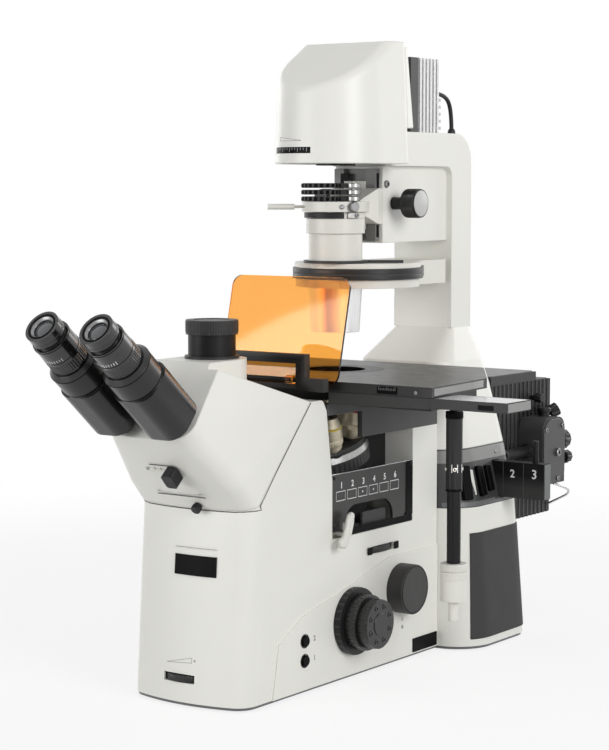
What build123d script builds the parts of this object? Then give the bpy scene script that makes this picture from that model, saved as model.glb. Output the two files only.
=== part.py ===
from build123d import *
import math
import os

# Inverted microscope, in millimetres.
# The origin is on the bench, below the optical axis. +X is the operator's right,
# +Y points from the eyepieces to the back of the stand, and +Z is up.

os.makedirs("parts", exist_ok=True)

# Clearances and cuts
seat_gap = 0.3
shaft_gap = 0.05
overrun = 5.0

# Feet and bottom plate
foot_radius = 14.0
foot_height = 2.0
bottom_plate_thickness = 3.0
underside_pad_half = 30.0
underside_pad_height = 0.5
front_foot_x = 46.0
front_foot_y = -228.0
rear_foot_x = 82.0
rear_foot_y = 196.0

# Lower body and rear housing
body_half_width = 75.0
body_front_y = -283.0
body_shoulder_y = -269.0
body_front_lean = 0.07
body_rear_y = 97.0
body_corner_radius = 22.0
body_top = 158.0
body_wall = 6.0
panel_proud = 1.5
panel_front_y = -225.0
panel_knee_y = -213.5
panel_knee_z = 61.5
panel_step_y = -172.4
panel_step_z = 83.9
panel_mid_y = -97.8
panel_mid_z = 100.8
panel_rear_z = 124.0
rear_back_y = 238.0
rear_half_base = 121.0
rear_half_band = 108.0
rear_front_radius = 46.0
rear_back_radius = 26.0
band_bottom = 165.0
band_top = 232.0
rear_half_neck = 92.0
rear_back_neck = 238.0

# Front column and rear column
column_half_width = 75.0
column_rear_y = -115.0
column_shelf_y = -126.0
column_shelf_z = 298.0
column_crest_y = -133.0
seam_low_front_y = -270.0
seam_low_front_z = 205.0
seam_low_y = -248.0
seam_low_z = 209.0
seam_top_y = -155.0
seam_top_z = 309.5
column_bend_z = 222.0
rear_column_y = 45.0
rear_column_top = 263.0
channel_half_width = 38.0
channel_depth = 15.0

# Head
ridge_y = -339.0
ridge_z = 283.0
ridge_half_width = 57.0
brow_y = -281.0
brow_z = 351.0
brow_half_width = 50.0
crown_z = 357.0
crown_half_width = 36.0
head_wall = 5.0
head_ridge_soft = 20.0
port_y = -226.5
port_flange_radius = 28.5
port_flange_height = 3.0
port_tube_radius = 24.8
port_ring_radius = 27.3
port_ring_height = 15.0
port_height = 40.0
port_bore_radius = 19.0
port_bore_depth = 30.0

# Eyepiece tubes
tube_half_spacing = 34.2
tube_rise = 18.4
tube_pivot_rise = 38.0
swing_plate_thickness = 4.0
swing_disc_radius = 12.0
swing_bar_width = 20.0
swing_pin_radius = 4.0
prism_half_width = 26.0
prism_height = 50.0
prism_length = 76.0
prism_corner = 18.0
prism_chamfer = 12.0
tube_sleeve_radius = 25.8
tube_sleeve_length = 30.0
tube_sleeve_chamfer = 4.0
tube_bore_radius = 15.0
tube_bore_depth = 40.0
eyepiece_spigot_radius = 14.9
eyepiece_spigot_length = 30.0
eyepiece_barrel_radius = 20.0
eyepiece_barrel_length = 37.0
eyecup_radius = 16.5
eyecup_length = 16.0
eyecup_rim_radius = 18.2
eyecup_rim_height = 11.5
eye_lens_radius = 13.0
eye_lens_depth = 5.0

# Selector on the head
selector_width = 14.0
selector_height = 18.0
selector_depth = 13.0
selector_x = 15.0
selector_drop = 48.0
selector_stem_width = 4.0
selector_stem_depth = 3.0
selector_travel = 36.0

# Brightness wheel in the front
wheel_radius = 30.0
wheel_x = -3.0
wheel_proud = 2.0
wheel_bottom = 26.0
wheel_thickness = 7.0
wheel_pin_radius = 3.0
wheel_post_radius = 6.0
wheel_slot_margin = 1.0
wheel_slot_half_width = 20.0

# Push buttons on the right side
button_radius = 6.0
button_depth = 7.0
button_proud = 3.0
button_y = -168.3
button_low_z = 36.6
button_high_z = 57.7
button_travel = 1.5

# Focus knobs
focus_y = -78.4
focus_z = 64.6
tension_radius = 36.5
tension_thickness = 8.5
coarse_radius = 30.0
coarse_thickness = 14.0
fine_radius = 26.5
fine_thickness = 13.0
focus_shaft_radius = 9.0
fine_shaft_radius = 5.0
pinion_radius = 14.0
pinion_length = 20.0

# Port selector knob on the right side
port_knob_y = 17.0
port_knob_z = 85.5
port_knob_radius = 28.0
port_knob_thickness = 20.0
port_knob_stem_radius = 8.0

# Magnification dial seen in the right side
dial_share = 0.4
dial_y = -17.0
dial_proud = 1.0
dial_bottom = 131.9
dial_thickness = 7.0
dial_slot_half_width = 22.0
dial_pin_radius = 4.0
dial_pin_depth = 4.0
dial_window_radius = 8.0
dial_window_count = 3
dial_slot_margin = 0.6

# Label panel at the recess
panel_thickness = 3.0
label_rear_y = 27.0
label_bottom = 166.0
label_top = 227.0
label_arch_rear_y = 4.0
label_arch_front_y = -92.0
label_arch_top = 191.0
label_arch_radius = 22.0

# Filter cube turret
cube_turret_y = -44.0
cube_turret_radius = 67.0
cube_turret_bottom = 160.6
cube_turret_plate = 6.0
cube_size = 28.0
cube_height = 22.0
cube_circle_radius = 44.0
cube_count = 6
cube_window_radius = 10.0
turret_pin_radius = 6.0
turret_pin_depth = 4.0

# Shutter lever
shutter_y = -98.0
shutter_x = 62.0
shutter_bottom = 160.6
shutter_reach = 19.5
shutter_blade = 4.0
shutter_hub_radius = 6.0
shutter_pin_radius = 3.0
shutter_tip_radius = 4.0
shutter_tip_top = 175.0

# Focus carriage and nosepiece
carriage_half_width = 37.7
carriage_bottom = 193.0
carriage_top = 255.0
carriage_arm_half_width = 24.0
carriage_arm_bottom = 196.0
carriage_arm_top = 212.0
carriage_arm_front_y = -66.0
rack_half_width = 5.0
rack_depth = 5.0
rack_bottom = 100.0
nosepiece_tilt = 15.0
nosepiece_y = -36.0
nosepiece_z = 228.0
nosepiece_radius = 60.0
nosepiece_rim = 13.0
nosepiece_cone = 13.0
nosepiece_top_radius = 57.0
nosepiece_seat_radius = 16.0
nosepiece_seat_thickness = 12.0
nosepiece_boss_radius = 22.0
nosepiece_boss_length = 20.0
nosepiece_pin_length = 14.0
nosepiece_pin_radius = 7.0
objective_count = 6
objective_bore_radius = 10.15
objective_thread_radius = 10.0
objective_thread_length = 4.0
objective_collar_radius = 12.5
objective_collar_length = 9.0
objective_barrel_radius = 13.0
objective_barrel_length = 25.0
objective_tip_radius = 8.0
objective_tip_length = 9.0
objective_light_radius = 4.0
focus_up = 7.0
focus_down = 1.5

# Stage
support_bottom = 263.0
support_rail = 6.0
support_front_y = -124.8
support_bar = 12.0
support_rail_front_y = -58.0
support_mid = 292.0
support_top = 304.7
carriage_plate_bottom = 305.0
carriage_plate_top = 318.3
stage_carriage_left = -150.0
stage_carriage_right = 205.0
stage_carriage_front = -126.0
stage_carriage_rear = 100.0
stage_carriage_inset = 8.0
stage_window_half_width = 68.0
stage_window_front = -81.0
stage_window_rear = 54.0
stage_notch_half_width = 77.5
stage_notch_rear = -92.0
stage_rail_right = 294.0
stage_rail_front = -127.0
stage_rail_rear = -77.0
stage_rail_bottom = 308.0
stage_plate_bottom = 318.6
stage_top = 329.4
stage_left = -186.0
stage_right = 206.5
stage_front = -127.0
stage_rear = 111.0
stage_shoulder_x = 196.5
stage_shoulder_y = 1.0
stage_corner_x = 131.0
stage_corner_y = 106.0
stage_left_cut = 30.0
insert_radius = 54.7
insert_seat_radius = 55.0
insert_ledge_radius = 51.0
insert_thickness = 3.2
insert_hole_radius = 34.0
stage_bore_radius = 51.0
handle_x = 190.0
handle_y = -55.0
handle_neck_radius = 4.0
handle_neck_z = 300.0
handle_shoulder_z = 294.0
handle_sleeve_radius = 8.8
handle_sleeve_bottom = 214.0
handle_stem_radius = 7.4
handle_stem_bottom = 136.3
handle_core_radius = 3.0
handle_core_end_z = 80.0
handle_end_z = 74.0
y_knob_bottom = 128.0
hand_knob_radius = 14.0
x_knob_bottom = 96.0
handle_end_radius = 5.4

# Shield and its bracket
shield_leg_front_y = -146.0
shield_leg_rear_y = -137.0
bracket_leg_outer = 61.0
bracket_leg_width = 12.0
bracket_bottom = 319.0
bracket_top = 358.0
bracket_bar_height = 10.0
bracket_foot_height = 4.4
clamp_width = 24.0
clamp_height = 14.0
rod_y_place = -140.0
rod_z_place = 330.0
rod_radius = 2.5
clip_radius = 4.5
clip_width = 9.0
clip_x = 38.0
clip_arm = 6.0
shield_left = -62.0
shield_right = 93.0
shield_bottom = 325.5
shield_top = 438.0
shield_low_y = -133.5
shield_high_y = -107.0
shield_thickness = 3.0
shield_corner = 12.0

# Arm
arm_half_width = 40.0
arm_front_y = 184.0
arm_rear_y = 228.0
arm_top = 596.0
arm_beam_bottom = 557.0
arm_corner_radius = 34.0
arm_inner_radius = 12.0
arm_foot_z = 367.0
arm_foot_mid_z = 330.0
arm_foot_low_z = 300.0
arm_foot_mid_y = 133.0
arm_foot_mid_half = 62.0
arm_foot_low_half = 72.0
arm_foot_low_back = 236.0
arm_foot_mid_back = 232.0
arm_foot_low_radii = (30.0, 22.0)
arm_foot_mid_radii = (25.0, 20.0)
arm_edge_radius = 8.0
web_half_width = 32.0
web_front_y = 47.0
web_bottom = 470.5

# Lamp head
lamp_half_width = 65.8
lamp_draft = 0.045
lamp_rear_y = 53.0
lamp_nose_y = -4.0
lamp_bottom = 559.0
lamp_top = 694.0
lamp_wall = 4.0
lamp_facet_y = -67.0
lamp_facet_z = 641.0
lamp_facet_top_y = 18.0
lamp_facet_top_z = 694.0
lamp_facet_soft = 12.0
lamp_corner = 8.0
lamp_floor_bottom = 560.0
lamp_floor_thickness = 3.0
lamp_floor_inset = 4.2
lamp_aperture_radius = 22.0
field_lens_thickness = 5.0
mirror_size = 46.0
mirror_thickness = 3.0
mirror_y = 0.0
mirror_z = 612.0
led_radius = 20.0
led_length = 26.0
lamp_cheek = 2.0
lamp_cheek_front_y = -24.0
lamp_cheek_rear_y = 40.0
lamp_cheek_top = 632.0
lamp_back_thickness = 5.0

# Lamp box behind the lamp head
box_half_width = 38.0
box_neck_half_width = 34.0
box_plate_front_y = 96.0
box_plate_rear_y = 112.0
box_top = 681.0
sink_rear_y = 157.0
sink_rib_count = 6
sink_rib_depth = 3.0
sink_rib_share = 0.5
small_fin_rear_y = 184.0
small_fin_half_width = 24.0
small_fin_top = 637.0
small_fin_count = 5
small_fin_thickness = 3.5
fin_core_half_width = 8.0

# Condenser rail, carriage and optics
rail_half_width = 28.0
rail_front_y = 38.6
rail_top = 554.0
rail_bottom = 473.0
rail_slot_half_width = 15.0
rail_slot_depth = 7.0
slide_half_width = 14.7
slide_depth = 6.6
slide_top = 540.0
slide_bottom = 486.0
condenser_down = 38.0
condenser_up = 10.0
bracket_half_width = 20.0
bracket_front_y = 16.0
bracket_back_bottom = 492.0
bracket_back_top = 532.0
ring_plate_radius = 38.0
ring_plate_bottom = 506.0
ring_plate_top = 517.3
light_bore_radius = 14.0
lever_slot_bottom = 509.3
lever_slot_top = 513.7
lever_disc_radius = 27.0
lever_disc_thickness = 4.0
lever_swing = 18.0
lever_slot_margin = 6.0
lever_out_x = -0.8166
lever_out_y = -0.5773
lever_rod_radius = 1.6
lever_handle_radius = 3.2
lever_handle_length = 30.0
lever_reach = 46.0
dark_ring_radius = 24.0
upper_tube_radius = 33.0
upper_tube_top = 498.5
upper_tube_bottom = 482.0
lower_tube_radius = 30.0
condenser_bore_radius = 20.0
turret_y = 45.0
turret_radius = 74.0
turret_top = 442.7
turret_bottom = 430.7
turret_pin = 5.0
turret_window_radius = 14.0
turret_window_count = 5
cover_plate_radius = 72.0
cover_plate_top = 448.6
cover_plate_bottom = 443.0
lower_plate_top = 430.4
lower_plate_bottom = 421.0
lower_plate_radius = 70.0
condenser_block_half_width = 38.0
condenser_block_front_y = 126.0
condenser_block_rear_y = 174.0
iris_bottom = 448.9
iris_thickness = 3.0
iris_outer_radius = 36.0
iris_reach = 76.0
iris_blade_half_width = 4.0
iris_swing = 15.0
lens_cup_top_radius = 30.0
lens_cup_low_radius = 27.0
lens_cup_bottom = 372.0
lens_cup_bore = 22.0
condenser_lens_thickness = 7.0

# Filter holders above the condenser
post_x = 17.0
post_y = 10.0
post_radius = 4.5
post_pin_radius = 2.5
holder_x = -14.0
holder_y = -8.0
holder_radius = 21.5
holder_bore = 16.0
holder_thickness = 5.4
holder_pitch = 7.4
holder_count = 3
holder_lug_radius = 5.0
holder_arm_half_width = 4.0

# Condenser focus knob
condenser_knob_y = 70.0
condenser_knob_z = 515.0
condenser_shaft_radius = 7.0
condenser_shaft_reach = 18.5
condenser_knob_radius = 16.0
condenser_knob_thickness = 18.0

# Reflected light parts on the rear housing
slider_y = 192.5
slider_bottom = 171.0
slider_top = 213.0
slider_depth = 15.0
slider_inner_x = 60.0
slider_outer_x = 166.0
slider_travel_in = 24.0
slider_travel_out = 12.0
slider_pin_radius = 3.5
slider_pin_length = 26.0

# Lamp house behind the stand
house_half_width = 50.0
house_front_y = 262.0
house_rear_y = 414.0
house_bottom = 120.0
house_top = 291.0
house_wall = 5.0
house_fin_count = 15
house_fin_depth = 7.0
house_fin_share = 0.45
house_neck_radius = 32.0
house_bore_radius = 26.0
house_axis_z = 204.0
house_cover_height = 11.0
house_cover_rear_y = 374.0
socket_front_y = 331.0
socket_rear_y = 388.0
socket_bottom = 164.0
socket_top = 247.0
socket_corner = 16.0
socket_reach = 30.0
socket_plate = 4.0
adjuster_z = 214.0
adjuster_x = 66.0
adjuster_radius = 9.0
adjuster_length = 14.0
adjuster_pin_radius = 3.0
adjuster_pin_length = 5.0
wire_radius = 1.6
wire_route = [
    (78.0, 371.0, 162.5),
    (90.0, 404.0, 150.0),
    (50.8, 408.0, 130.0),
]

# Short lamp cable on top of the arm
cable_radius = 2.5
bend_share = 0.45
cable_x = 31.0
cable_route = [
    (cable_x, 157.0, 642.0),
    (cable_x, 180.5, 642.0),
    (cable_x, 197.0, 625.5),
    (cable_x, 197.0, 596.0),
]

# Inner optics of the stand
tube_lens_radius = 20.0
tube_lens_thickness = 6.0
tube_lens_length = 11.5
tube_lens_ring = 4.0
prism_size = 40.0
prism_top = 80.0
light_duct_half_width = 25.0
light_duct_front_y = -235.0
light_duct_rear_y = -190.0
epi_tunnel_radius = 9.0
epi_tunnel_z = 177.6


def save(piece, name):
    """Labels a finished piece and writes it under its own name."""
    piece.part.label = name
    export_step(piece.part, f"parts/{name}.step")


def body_outline(level, inset=0.0):
    """The front body's plan: straight sides and a bowed front that leans back as it rises."""
    half = body_half_width - inset
    lean = body_front_lean * level
    front = body_front_y + inset + lean
    shoulder = body_shoulder_y + inset + lean
    with BuildSketch(Plane.XY.offset(level)) as plan:
        with BuildLine():
            Polyline((half, shoulder), (half, body_rear_y), (-half, body_rear_y), (-half, shoulder))
            ThreePointArc((-half, shoulder), (0, front), (half, shoulder))
        make_face()
        fillet(plan.vertices().group_by(Axis.Y)[0], body_corner_radius - inset)
    return plan.sketch


def rear_outline(level, half, front, back, front_radius, back_radius):
    """The plan of the rounded section behind the columns at one level."""
    with BuildSketch(Plane.XY.offset(level)) as plan:
        with Locations((0, (front + back) / 2)):
            Rectangle(2 * half, back - front)
        fillet(plan.vertices().group_by(Axis.Y)[0], front_radius)
        fillet(plan.vertices().group_by(Axis.Y)[-1], back_radius)
    return plan.sketch


def rod_z(place, bottom, top, radius, mode=Mode.ADD):
    """An upright round bar or bore."""
    with BuildSketch(Plane.XY.offset(bottom)) as face:
        with Locations(place):
            Circle(radius)
    extrude(face.sketch, amount=top - bottom, mode=mode)


def rod_x(place, start, end, radius, mode=Mode.ADD):
    """A round bar or bore along X, placed by its Y and Z."""
    with BuildSketch(Plane.YZ.offset(start)) as face:
        with Locations(place):
            Circle(radius)
    extrude(face.sketch, amount=end - start, mode=mode)


def rod_y(place, start, end, radius, mode=Mode.ADD):
    """A round bar or bore along Y, placed by its X and Z."""
    with BuildSketch(Plane.XZ.offset(-end)) as face:
        with Locations(place):
            Circle(radius)
    extrude(face.sketch, amount=end - start, mode=mode)


def block(left, right, front, rear, bottom, top, mode=Mode.ADD):
    """A square-cornered block between its six limits."""
    with BuildSketch(Plane.XY.offset(bottom)) as face:
        with Locations(((left + right) / 2, (front + rear) / 2)):
            Rectangle(right - left, rear - front)
    extrude(face.sketch, amount=top - bottom, mode=mode)


def plate_x(points, start, end, mode=Mode.ADD):
    """A plate cut to an outline given by Y and Z, from one X to another."""
    with BuildSketch(Plane.YZ.offset(start)) as face:
        Polygon(*points, align=None)
    extrude(face.sketch, amount=end - start, mode=mode)


def bar_along(start, direction, length, radius, mode=Mode.ADD):
    """A round bar or bore along any direction."""
    with BuildSketch(Plane(origin=start, z_dir=direction)) as face:
        Circle(radius)
    extrude(face.sketch, amount=length, mode=mode)


def cone_along(start, direction, length, start_radius, end_radius):
    """A tapering round bar along any direction."""
    with BuildSketch(Plane(origin=start, z_dir=direction)) as near:
        Circle(start_radius)
    with BuildSketch(Plane(origin=start + direction * length, z_dir=direction)) as far:
        Circle(end_radius)
    loft(sections=[near.sketch, far.sketch])


# Bottom plate and feet
plate_bottom = foot_height
body_bottom = plate_bottom + bottom_plate_thickness
foot_places = [
    (-front_foot_x, front_foot_y),
    (front_foot_x, front_foot_y),
    (-rear_foot_x, rear_foot_y),
    (rear_foot_x, rear_foot_y),
]

wheel_front_y = body_front_y + body_front_lean * wheel_bottom - wheel_proud
wheel_place = (wheel_x, wheel_front_y + wheel_radius)

with BuildPart() as base_plate:
    extrude(body_outline(plate_bottom, panel_proud), amount=bottom_plate_thickness)
    rear_plan = rear_outline(
        plate_bottom,
        rear_half_base - panel_proud,
        body_rear_y,
        rear_back_y - panel_proud,
        rear_front_radius,
        rear_back_radius,
    )
    extrude(rear_plan, amount=bottom_plate_thickness)
    with BuildSketch(Plane.XY.offset(plate_bottom)):
        Rectangle(2 * underside_pad_half, 2 * underside_pad_half)
    extrude(amount=-underside_pad_height)
    rod_z(wheel_place, body_bottom, wheel_bottom - seat_gap, wheel_post_radius)
    rod_z(wheel_place, body_bottom, wheel_bottom + wheel_thickness, wheel_pin_radius)
save(base_plate, "base_plate")

with BuildPart() as rubber_feet:
    with BuildSketch():
        with Locations(*foot_places):
            Circle(foot_radius)
    extrude(amount=foot_height)
save(rubber_feet, "rubber_feet")

# Lower body: the hollow casting below the recess, with the rounded rear housing
panel_x = body_half_width + panel_proud
rear_base = (body_bottom, rear_half_base, body_rear_y, rear_back_y, rear_front_radius, rear_back_radius)
rear_band = (band_bottom, rear_half_band, body_rear_y, rear_back_y, rear_front_radius, rear_back_radius)
cavity_top = body_top - body_wall
dial_x = dial_share * body_half_width
dial_radius = panel_x + dial_proud - dial_x
dial_place = (dial_x, dial_y)
rack_y = rear_column_y + (channel_depth - rack_depth) / 2
light_duct = (-light_duct_half_width, light_duct_half_width, light_duct_front_y, light_duct_rear_y)

side_panel_profile = [
    (panel_front_y, body_bottom),
    (panel_knee_y, panel_knee_z),
    (panel_step_y, panel_step_z),
    (panel_mid_y, panel_mid_z),
    (-panel_proud, panel_rear_z),
    (body_rear_y, panel_rear_z),
    (body_rear_y, body_bottom),
]

with BuildPart() as lower_body:
    loft(sections=[body_outline(body_bottom), body_outline(body_top)])
    with BuildSketch(Plane.YZ):
        Polygon(*side_panel_profile, align=None)
    extrude(amount=panel_x, both=True)
    loft(sections=[rear_outline(*rear_base), rear_outline(*rear_band)])
    loft(sections=[body_outline(body_bottom, body_wall), body_outline(cavity_top, body_wall)], mode=Mode.SUBTRACT)
    with BuildSketch(Plane.XY.offset(body_bottom)):
        with Locations((0, (body_rear_y + rear_back_y) / 2)):
            RectangleRounded(
                2 * (rear_half_band - body_wall),
                rear_back_y - body_rear_y - 2 * body_wall,
                rear_front_radius - body_wall,
            )
    extrude(amount=band_bottom - body_bottom - body_wall, mode=Mode.SUBTRACT)
    rod_x((focus_y, focus_z), -panel_x, panel_x, focus_shaft_radius + shaft_gap, Mode.SUBTRACT)
    wall_inside = body_half_width - body_wall - overrun
    for button_z in (button_low_z, button_high_z):
        rod_x((button_y, button_z), wall_inside, panel_x + overrun, button_radius + seat_gap, Mode.SUBTRACT)
    rod_x(
        (port_knob_y, port_knob_z),
        wall_inside,
        panel_x + overrun,
        port_knob_stem_radius + shaft_gap,
        Mode.SUBTRACT,
    )
    rod_z(
        wheel_place,
        wheel_bottom - wheel_slot_margin,
        wheel_bottom + wheel_thickness + wheel_slot_margin,
        wheel_radius + wheel_slot_margin,
        Mode.SUBTRACT,
    )
    block(
        wheel_x - wheel_slot_half_width,
        wheel_x + wheel_slot_half_width,
        wheel_front_y - overrun,
        wheel_front_y + wheel_proud + body_wall + overrun,
        wheel_bottom - wheel_slot_margin,
        wheel_bottom + wheel_thickness + wheel_slot_margin,
        Mode.SUBTRACT,
    )
    rod_z(
        dial_place,
        dial_bottom - dial_slot_margin,
        dial_bottom + dial_thickness + dial_slot_margin,
        dial_radius + dial_slot_margin,
        Mode.SUBTRACT,
    )
    block(
        body_half_width - body_wall - overrun,
        panel_x + overrun,
        dial_y - dial_slot_half_width,
        dial_y + dial_slot_half_width,
        dial_bottom - dial_slot_margin,
        dial_bottom + dial_thickness + dial_slot_margin,
        Mode.SUBTRACT,
    )
    rod_z(dial_place, cavity_top, cavity_top + dial_pin_depth + seat_gap, dial_pin_radius + shaft_gap, Mode.SUBTRACT)
    rod_z((0, 0), cavity_top, body_top, tube_lens_radius, Mode.SUBTRACT)
    rod_z(
        (0, cube_turret_y),
        body_top - turret_pin_depth - seat_gap,
        body_top,
        turret_pin_radius + shaft_gap,
        Mode.SUBTRACT,
    )
    rod_z(
        (shutter_x, shutter_y),
        body_top - turret_pin_depth - seat_gap,
        body_top,
        shutter_pin_radius + shaft_gap,
        Mode.SUBTRACT,
    )
    block(
        -rack_half_width - seat_gap,
        rack_half_width + seat_gap,
        rack_y - seat_gap,
        rack_y + rack_depth + seat_gap,
        cavity_top,
        body_top,
        Mode.SUBTRACT,
    )
    block(*light_duct, cavity_top, body_top, Mode.SUBTRACT)
save(lower_body, "lower_body")

# Front column: closes the recess in front and carries the head on its sloping seam
column_front_y = body_front_y + body_half_width - column_half_width
column_profile = [
    (column_front_y, body_top),
    (column_front_y, seam_low_front_z),
    (seam_low_front_y, seam_low_front_z),
    (seam_low_y, seam_low_z),
    (seam_top_y, seam_top_z),
    (column_crest_y, seam_top_z),
    (column_shelf_y, column_shelf_z),
    (column_rear_y, column_bend_z),
    (column_rear_y, body_top),
]

column_inset = body_half_width - column_half_width
column_plan = body_outline(body_top, column_inset)

with BuildPart() as front_column:
    extrude(column_plan, amount=seam_top_z - body_top + body_wall, dir=(0, body_front_lean, 1))
    plate_x(column_profile, -column_half_width, column_half_width, Mode.INTERSECT)
    fillet(front_column.edges().filter_by(Axis.X).group_by(Axis.Z)[-1].sort_by(Axis.Y)[-1], body_wall)
    block(*light_duct, body_top, seam_top_z, Mode.SUBTRACT)
save(front_column, "front_column")

# Rear column: stands behind the recess, with a channel for the focus carriage
with BuildPart() as rear_column:
    block(-column_half_width, column_half_width, rear_column_y, body_rear_y, body_top, rear_column_top)
    block(
        -channel_half_width,
        channel_half_width,
        rear_column_y,
        rear_column_y + channel_depth,
        body_top,
        rear_column_top,
        Mode.SUBTRACT,
    )
    rod_y((0, epi_tunnel_z), rear_column_y, body_rear_y, epi_tunnel_radius, Mode.SUBTRACT)
save(rear_column, "rear_column")

# Conical band of the reflected light path, round the rear section
neck_section = (band_top, rear_half_neck, body_rear_y, rear_back_neck, rear_front_radius, rear_back_radius)

with BuildPart() as epi_collar:
    loft(sections=[rear_outline(*rear_band), rear_outline(*neck_section)])
    block(
        slider_inner_x - slider_travel_in - seat_gap,
        slider_outer_x,
        slider_y - slider_depth / 2 - seat_gap,
        slider_y + slider_depth / 2 + seat_gap,
        slider_bottom - seat_gap,
        slider_top + seat_gap,
        Mode.SUBTRACT,
    )
    rod_y((0, house_axis_z), body_rear_y + body_wall, rear_back_y, house_bore_radius, Mode.SUBTRACT)
    rod_y((0, epi_tunnel_z + epi_tunnel_radius), body_rear_y, rear_back_y - body_wall, epi_tunnel_radius, Mode.SUBTRACT)
save(epi_collar, "epi_collar")

# Head: a wedge whose upper face carries the eyepiece tubes and whose lower face
# looks at the operator's hands
head_profile = [
    (ridge_y, ridge_z),
    (brow_y, brow_z),
    (seam_top_y, seam_top_z),
    (seam_low_y, seam_low_z),
    (seam_low_front_y, seam_low_front_z),
]
brow_slope = (brow_y - ridge_y) / (brow_z - ridge_z)
crown_front_y = brow_y + (crown_z - brow_z) * brow_slope
side_points = [
    Vector(ridge_half_width, ridge_y, ridge_z),
    Vector(brow_half_width, brow_y, brow_z),
    Vector(column_half_width, seam_top_y, seam_top_z),
]
side_normal = (side_points[1] - side_points[0]).cross(side_points[2] - side_points[0]).normalized()
if side_normal.X < 0:
    side_normal = -side_normal
side_plane = Plane(origin=side_points[0], z_dir=side_normal)
mirror_normal = Vector(-side_normal.X, side_normal.Y, side_normal.Z)
other_side_plane = Plane(origin=Vector(-ridge_half_width, ridge_y, ridge_z), z_dir=mirror_normal)
ridge_corner = Vector(column_half_width, ridge_y, ridge_z)
other_ridge_corner = Vector(-column_half_width, ridge_y, ridge_z)
face_down = Vector(0, seam_low_front_y - ridge_y, seam_low_front_z - ridge_z).normalized()
face_out = Vector(0, face_down.Z, -face_down.Y)

brow_direction = Vector(0, brow_y - ridge_y, brow_z - ridge_z).normalized()
brow_normal = Vector(0, -brow_direction.Z, brow_direction.Y)
tube_seat = Vector(0, ridge_y, ridge_z) + brow_direction * tube_rise + brow_normal * seat_gap
swing_point = Vector(0, ridge_y, ridge_z) + brow_direction * (tube_rise + tube_pivot_rise)
swing_pin_length = 2 * (seat_gap + swing_plate_thickness)

seam_outline = body_outline(seam_low_front_z, column_inset)
head_sweep = (brow_z - seam_low_front_z) / -face_down.Z

with BuildPart() as head_cover:
    with BuildSketch(Plane.YZ):
        Polygon(*head_profile, align=None)
    extrude(amount=column_half_width, both=True)
    split(bisect_by=side_plane, keep=Keep.BOTTOM)
    split(bisect_by=other_side_plane, keep=Keep.BOTTOM)
    extrude(seam_outline, amount=head_sweep, dir=-face_down, mode=Mode.INTERSECT)
    for corner in (ridge_corner, other_ridge_corner):
        ridge_edges = head_cover.edges().sort_by(lambda edge: (edge.center() - corner).length)
        fillet(ridge_edges[0], head_ridge_soft)
    with BuildSketch(Plane.YZ):
        Polygon(
            (crown_front_y, crown_z),
            (port_y, crown_z),
            (port_y, seam_top_z),
            (crown_front_y, seam_top_z),
            (brow_y, brow_z),
            align=None,
        )
    extrude(amount=crown_half_width, both=True)
    with BuildSketch(Plane.XY.offset(seam_top_z)):
        with Locations((0, port_y)):
            Circle(crown_half_width)
    extrude(amount=crown_z - seam_top_z)
    with BuildSketch(Plane.YZ):
        hollow = Polygon(*head_profile, align=None, mode=Mode.PRIVATE)
        offset(hollow, amount=-2 * head_wall, kind=Kind.INTERSECTION)
    extrude(amount=brow_half_width - 2 * head_wall, both=True, mode=Mode.SUBTRACT)
    with BuildSketch(Plane.XY.offset(crown_z)):
        with Locations((0, port_y)):
            Circle(port_bore_radius)
    extrude(amount=-(crown_z - seam_top_z), mode=Mode.SUBTRACT)
    block(*light_duct, seam_low_front_z, seam_top_z, Mode.SUBTRACT)
    bar_along(swing_point, brow_normal, swing_pin_length, swing_pin_radius)
    selector_centre = Vector(selector_x, ridge_y, ridge_z) + face_down * selector_drop
    with BuildSketch(Plane(origin=selector_centre, x_dir=(1, 0, 0), z_dir=face_out)):
        with Locations((-selector_travel / 2, 0)):
            Rectangle(selector_travel + selector_stem_width + 2 * seat_gap, selector_stem_width + 2 * seat_gap)
    extrude(amount=-(selector_stem_depth + seat_gap), mode=Mode.SUBTRACT)
save(head_cover, "head_cover")

# Selector knob, which slides along its slot
with BuildPart() as light_path_selector:
    with BuildSketch(Plane(origin=selector_centre + face_out * seat_gap, x_dir=(1, 0, 0), z_dir=face_out)):
        RectangleRounded(selector_width, selector_height, selector_width / 4)
    extrude(amount=selector_depth)
    with BuildSketch(Plane(origin=selector_centre + face_out * seat_gap, x_dir=(1, 0, 0), z_dir=face_out)):
        Rectangle(selector_stem_width, selector_stem_width)
    extrude(amount=-(selector_stem_depth))
save(light_path_selector, "light_path_selector")

# Camera port: flange, tube and clamping ring, with an open bore
port_plane = Plane.XY.offset(crown_z)

with BuildPart() as camera_port:
    with BuildSketch(port_plane):
        with Locations((0, port_y)):
            Circle(port_flange_radius)
    extrude(amount=port_flange_height)
    with BuildSketch(port_plane):
        with Locations((0, port_y)):
            Circle(port_tube_radius)
    extrude(amount=port_height)
    with BuildSketch(port_plane.offset(port_height - port_ring_height)):
        with Locations((0, port_y)):
            Circle(port_ring_radius)
    extrude(amount=port_ring_height)
    with BuildSketch(port_plane.offset(port_height - port_bore_depth)):
        with Locations((0, port_y)):
            Circle(port_bore_radius)
    extrude(amount=port_bore_depth, mode=Mode.SUBTRACT)
save(camera_port, "camera_port")

# Binocular tubes. Both halves turn about one axis square to the head's upper face.

def tube_plane(x, reach=0.0):
    """A plane across one tube's axis, at a distance out from the head."""
    origin = tube_seat + brow_normal * reach + Vector(x, 0, 0)
    return Plane(origin=origin, x_dir=(1, 0, 0), z_dir=brow_normal)


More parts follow.
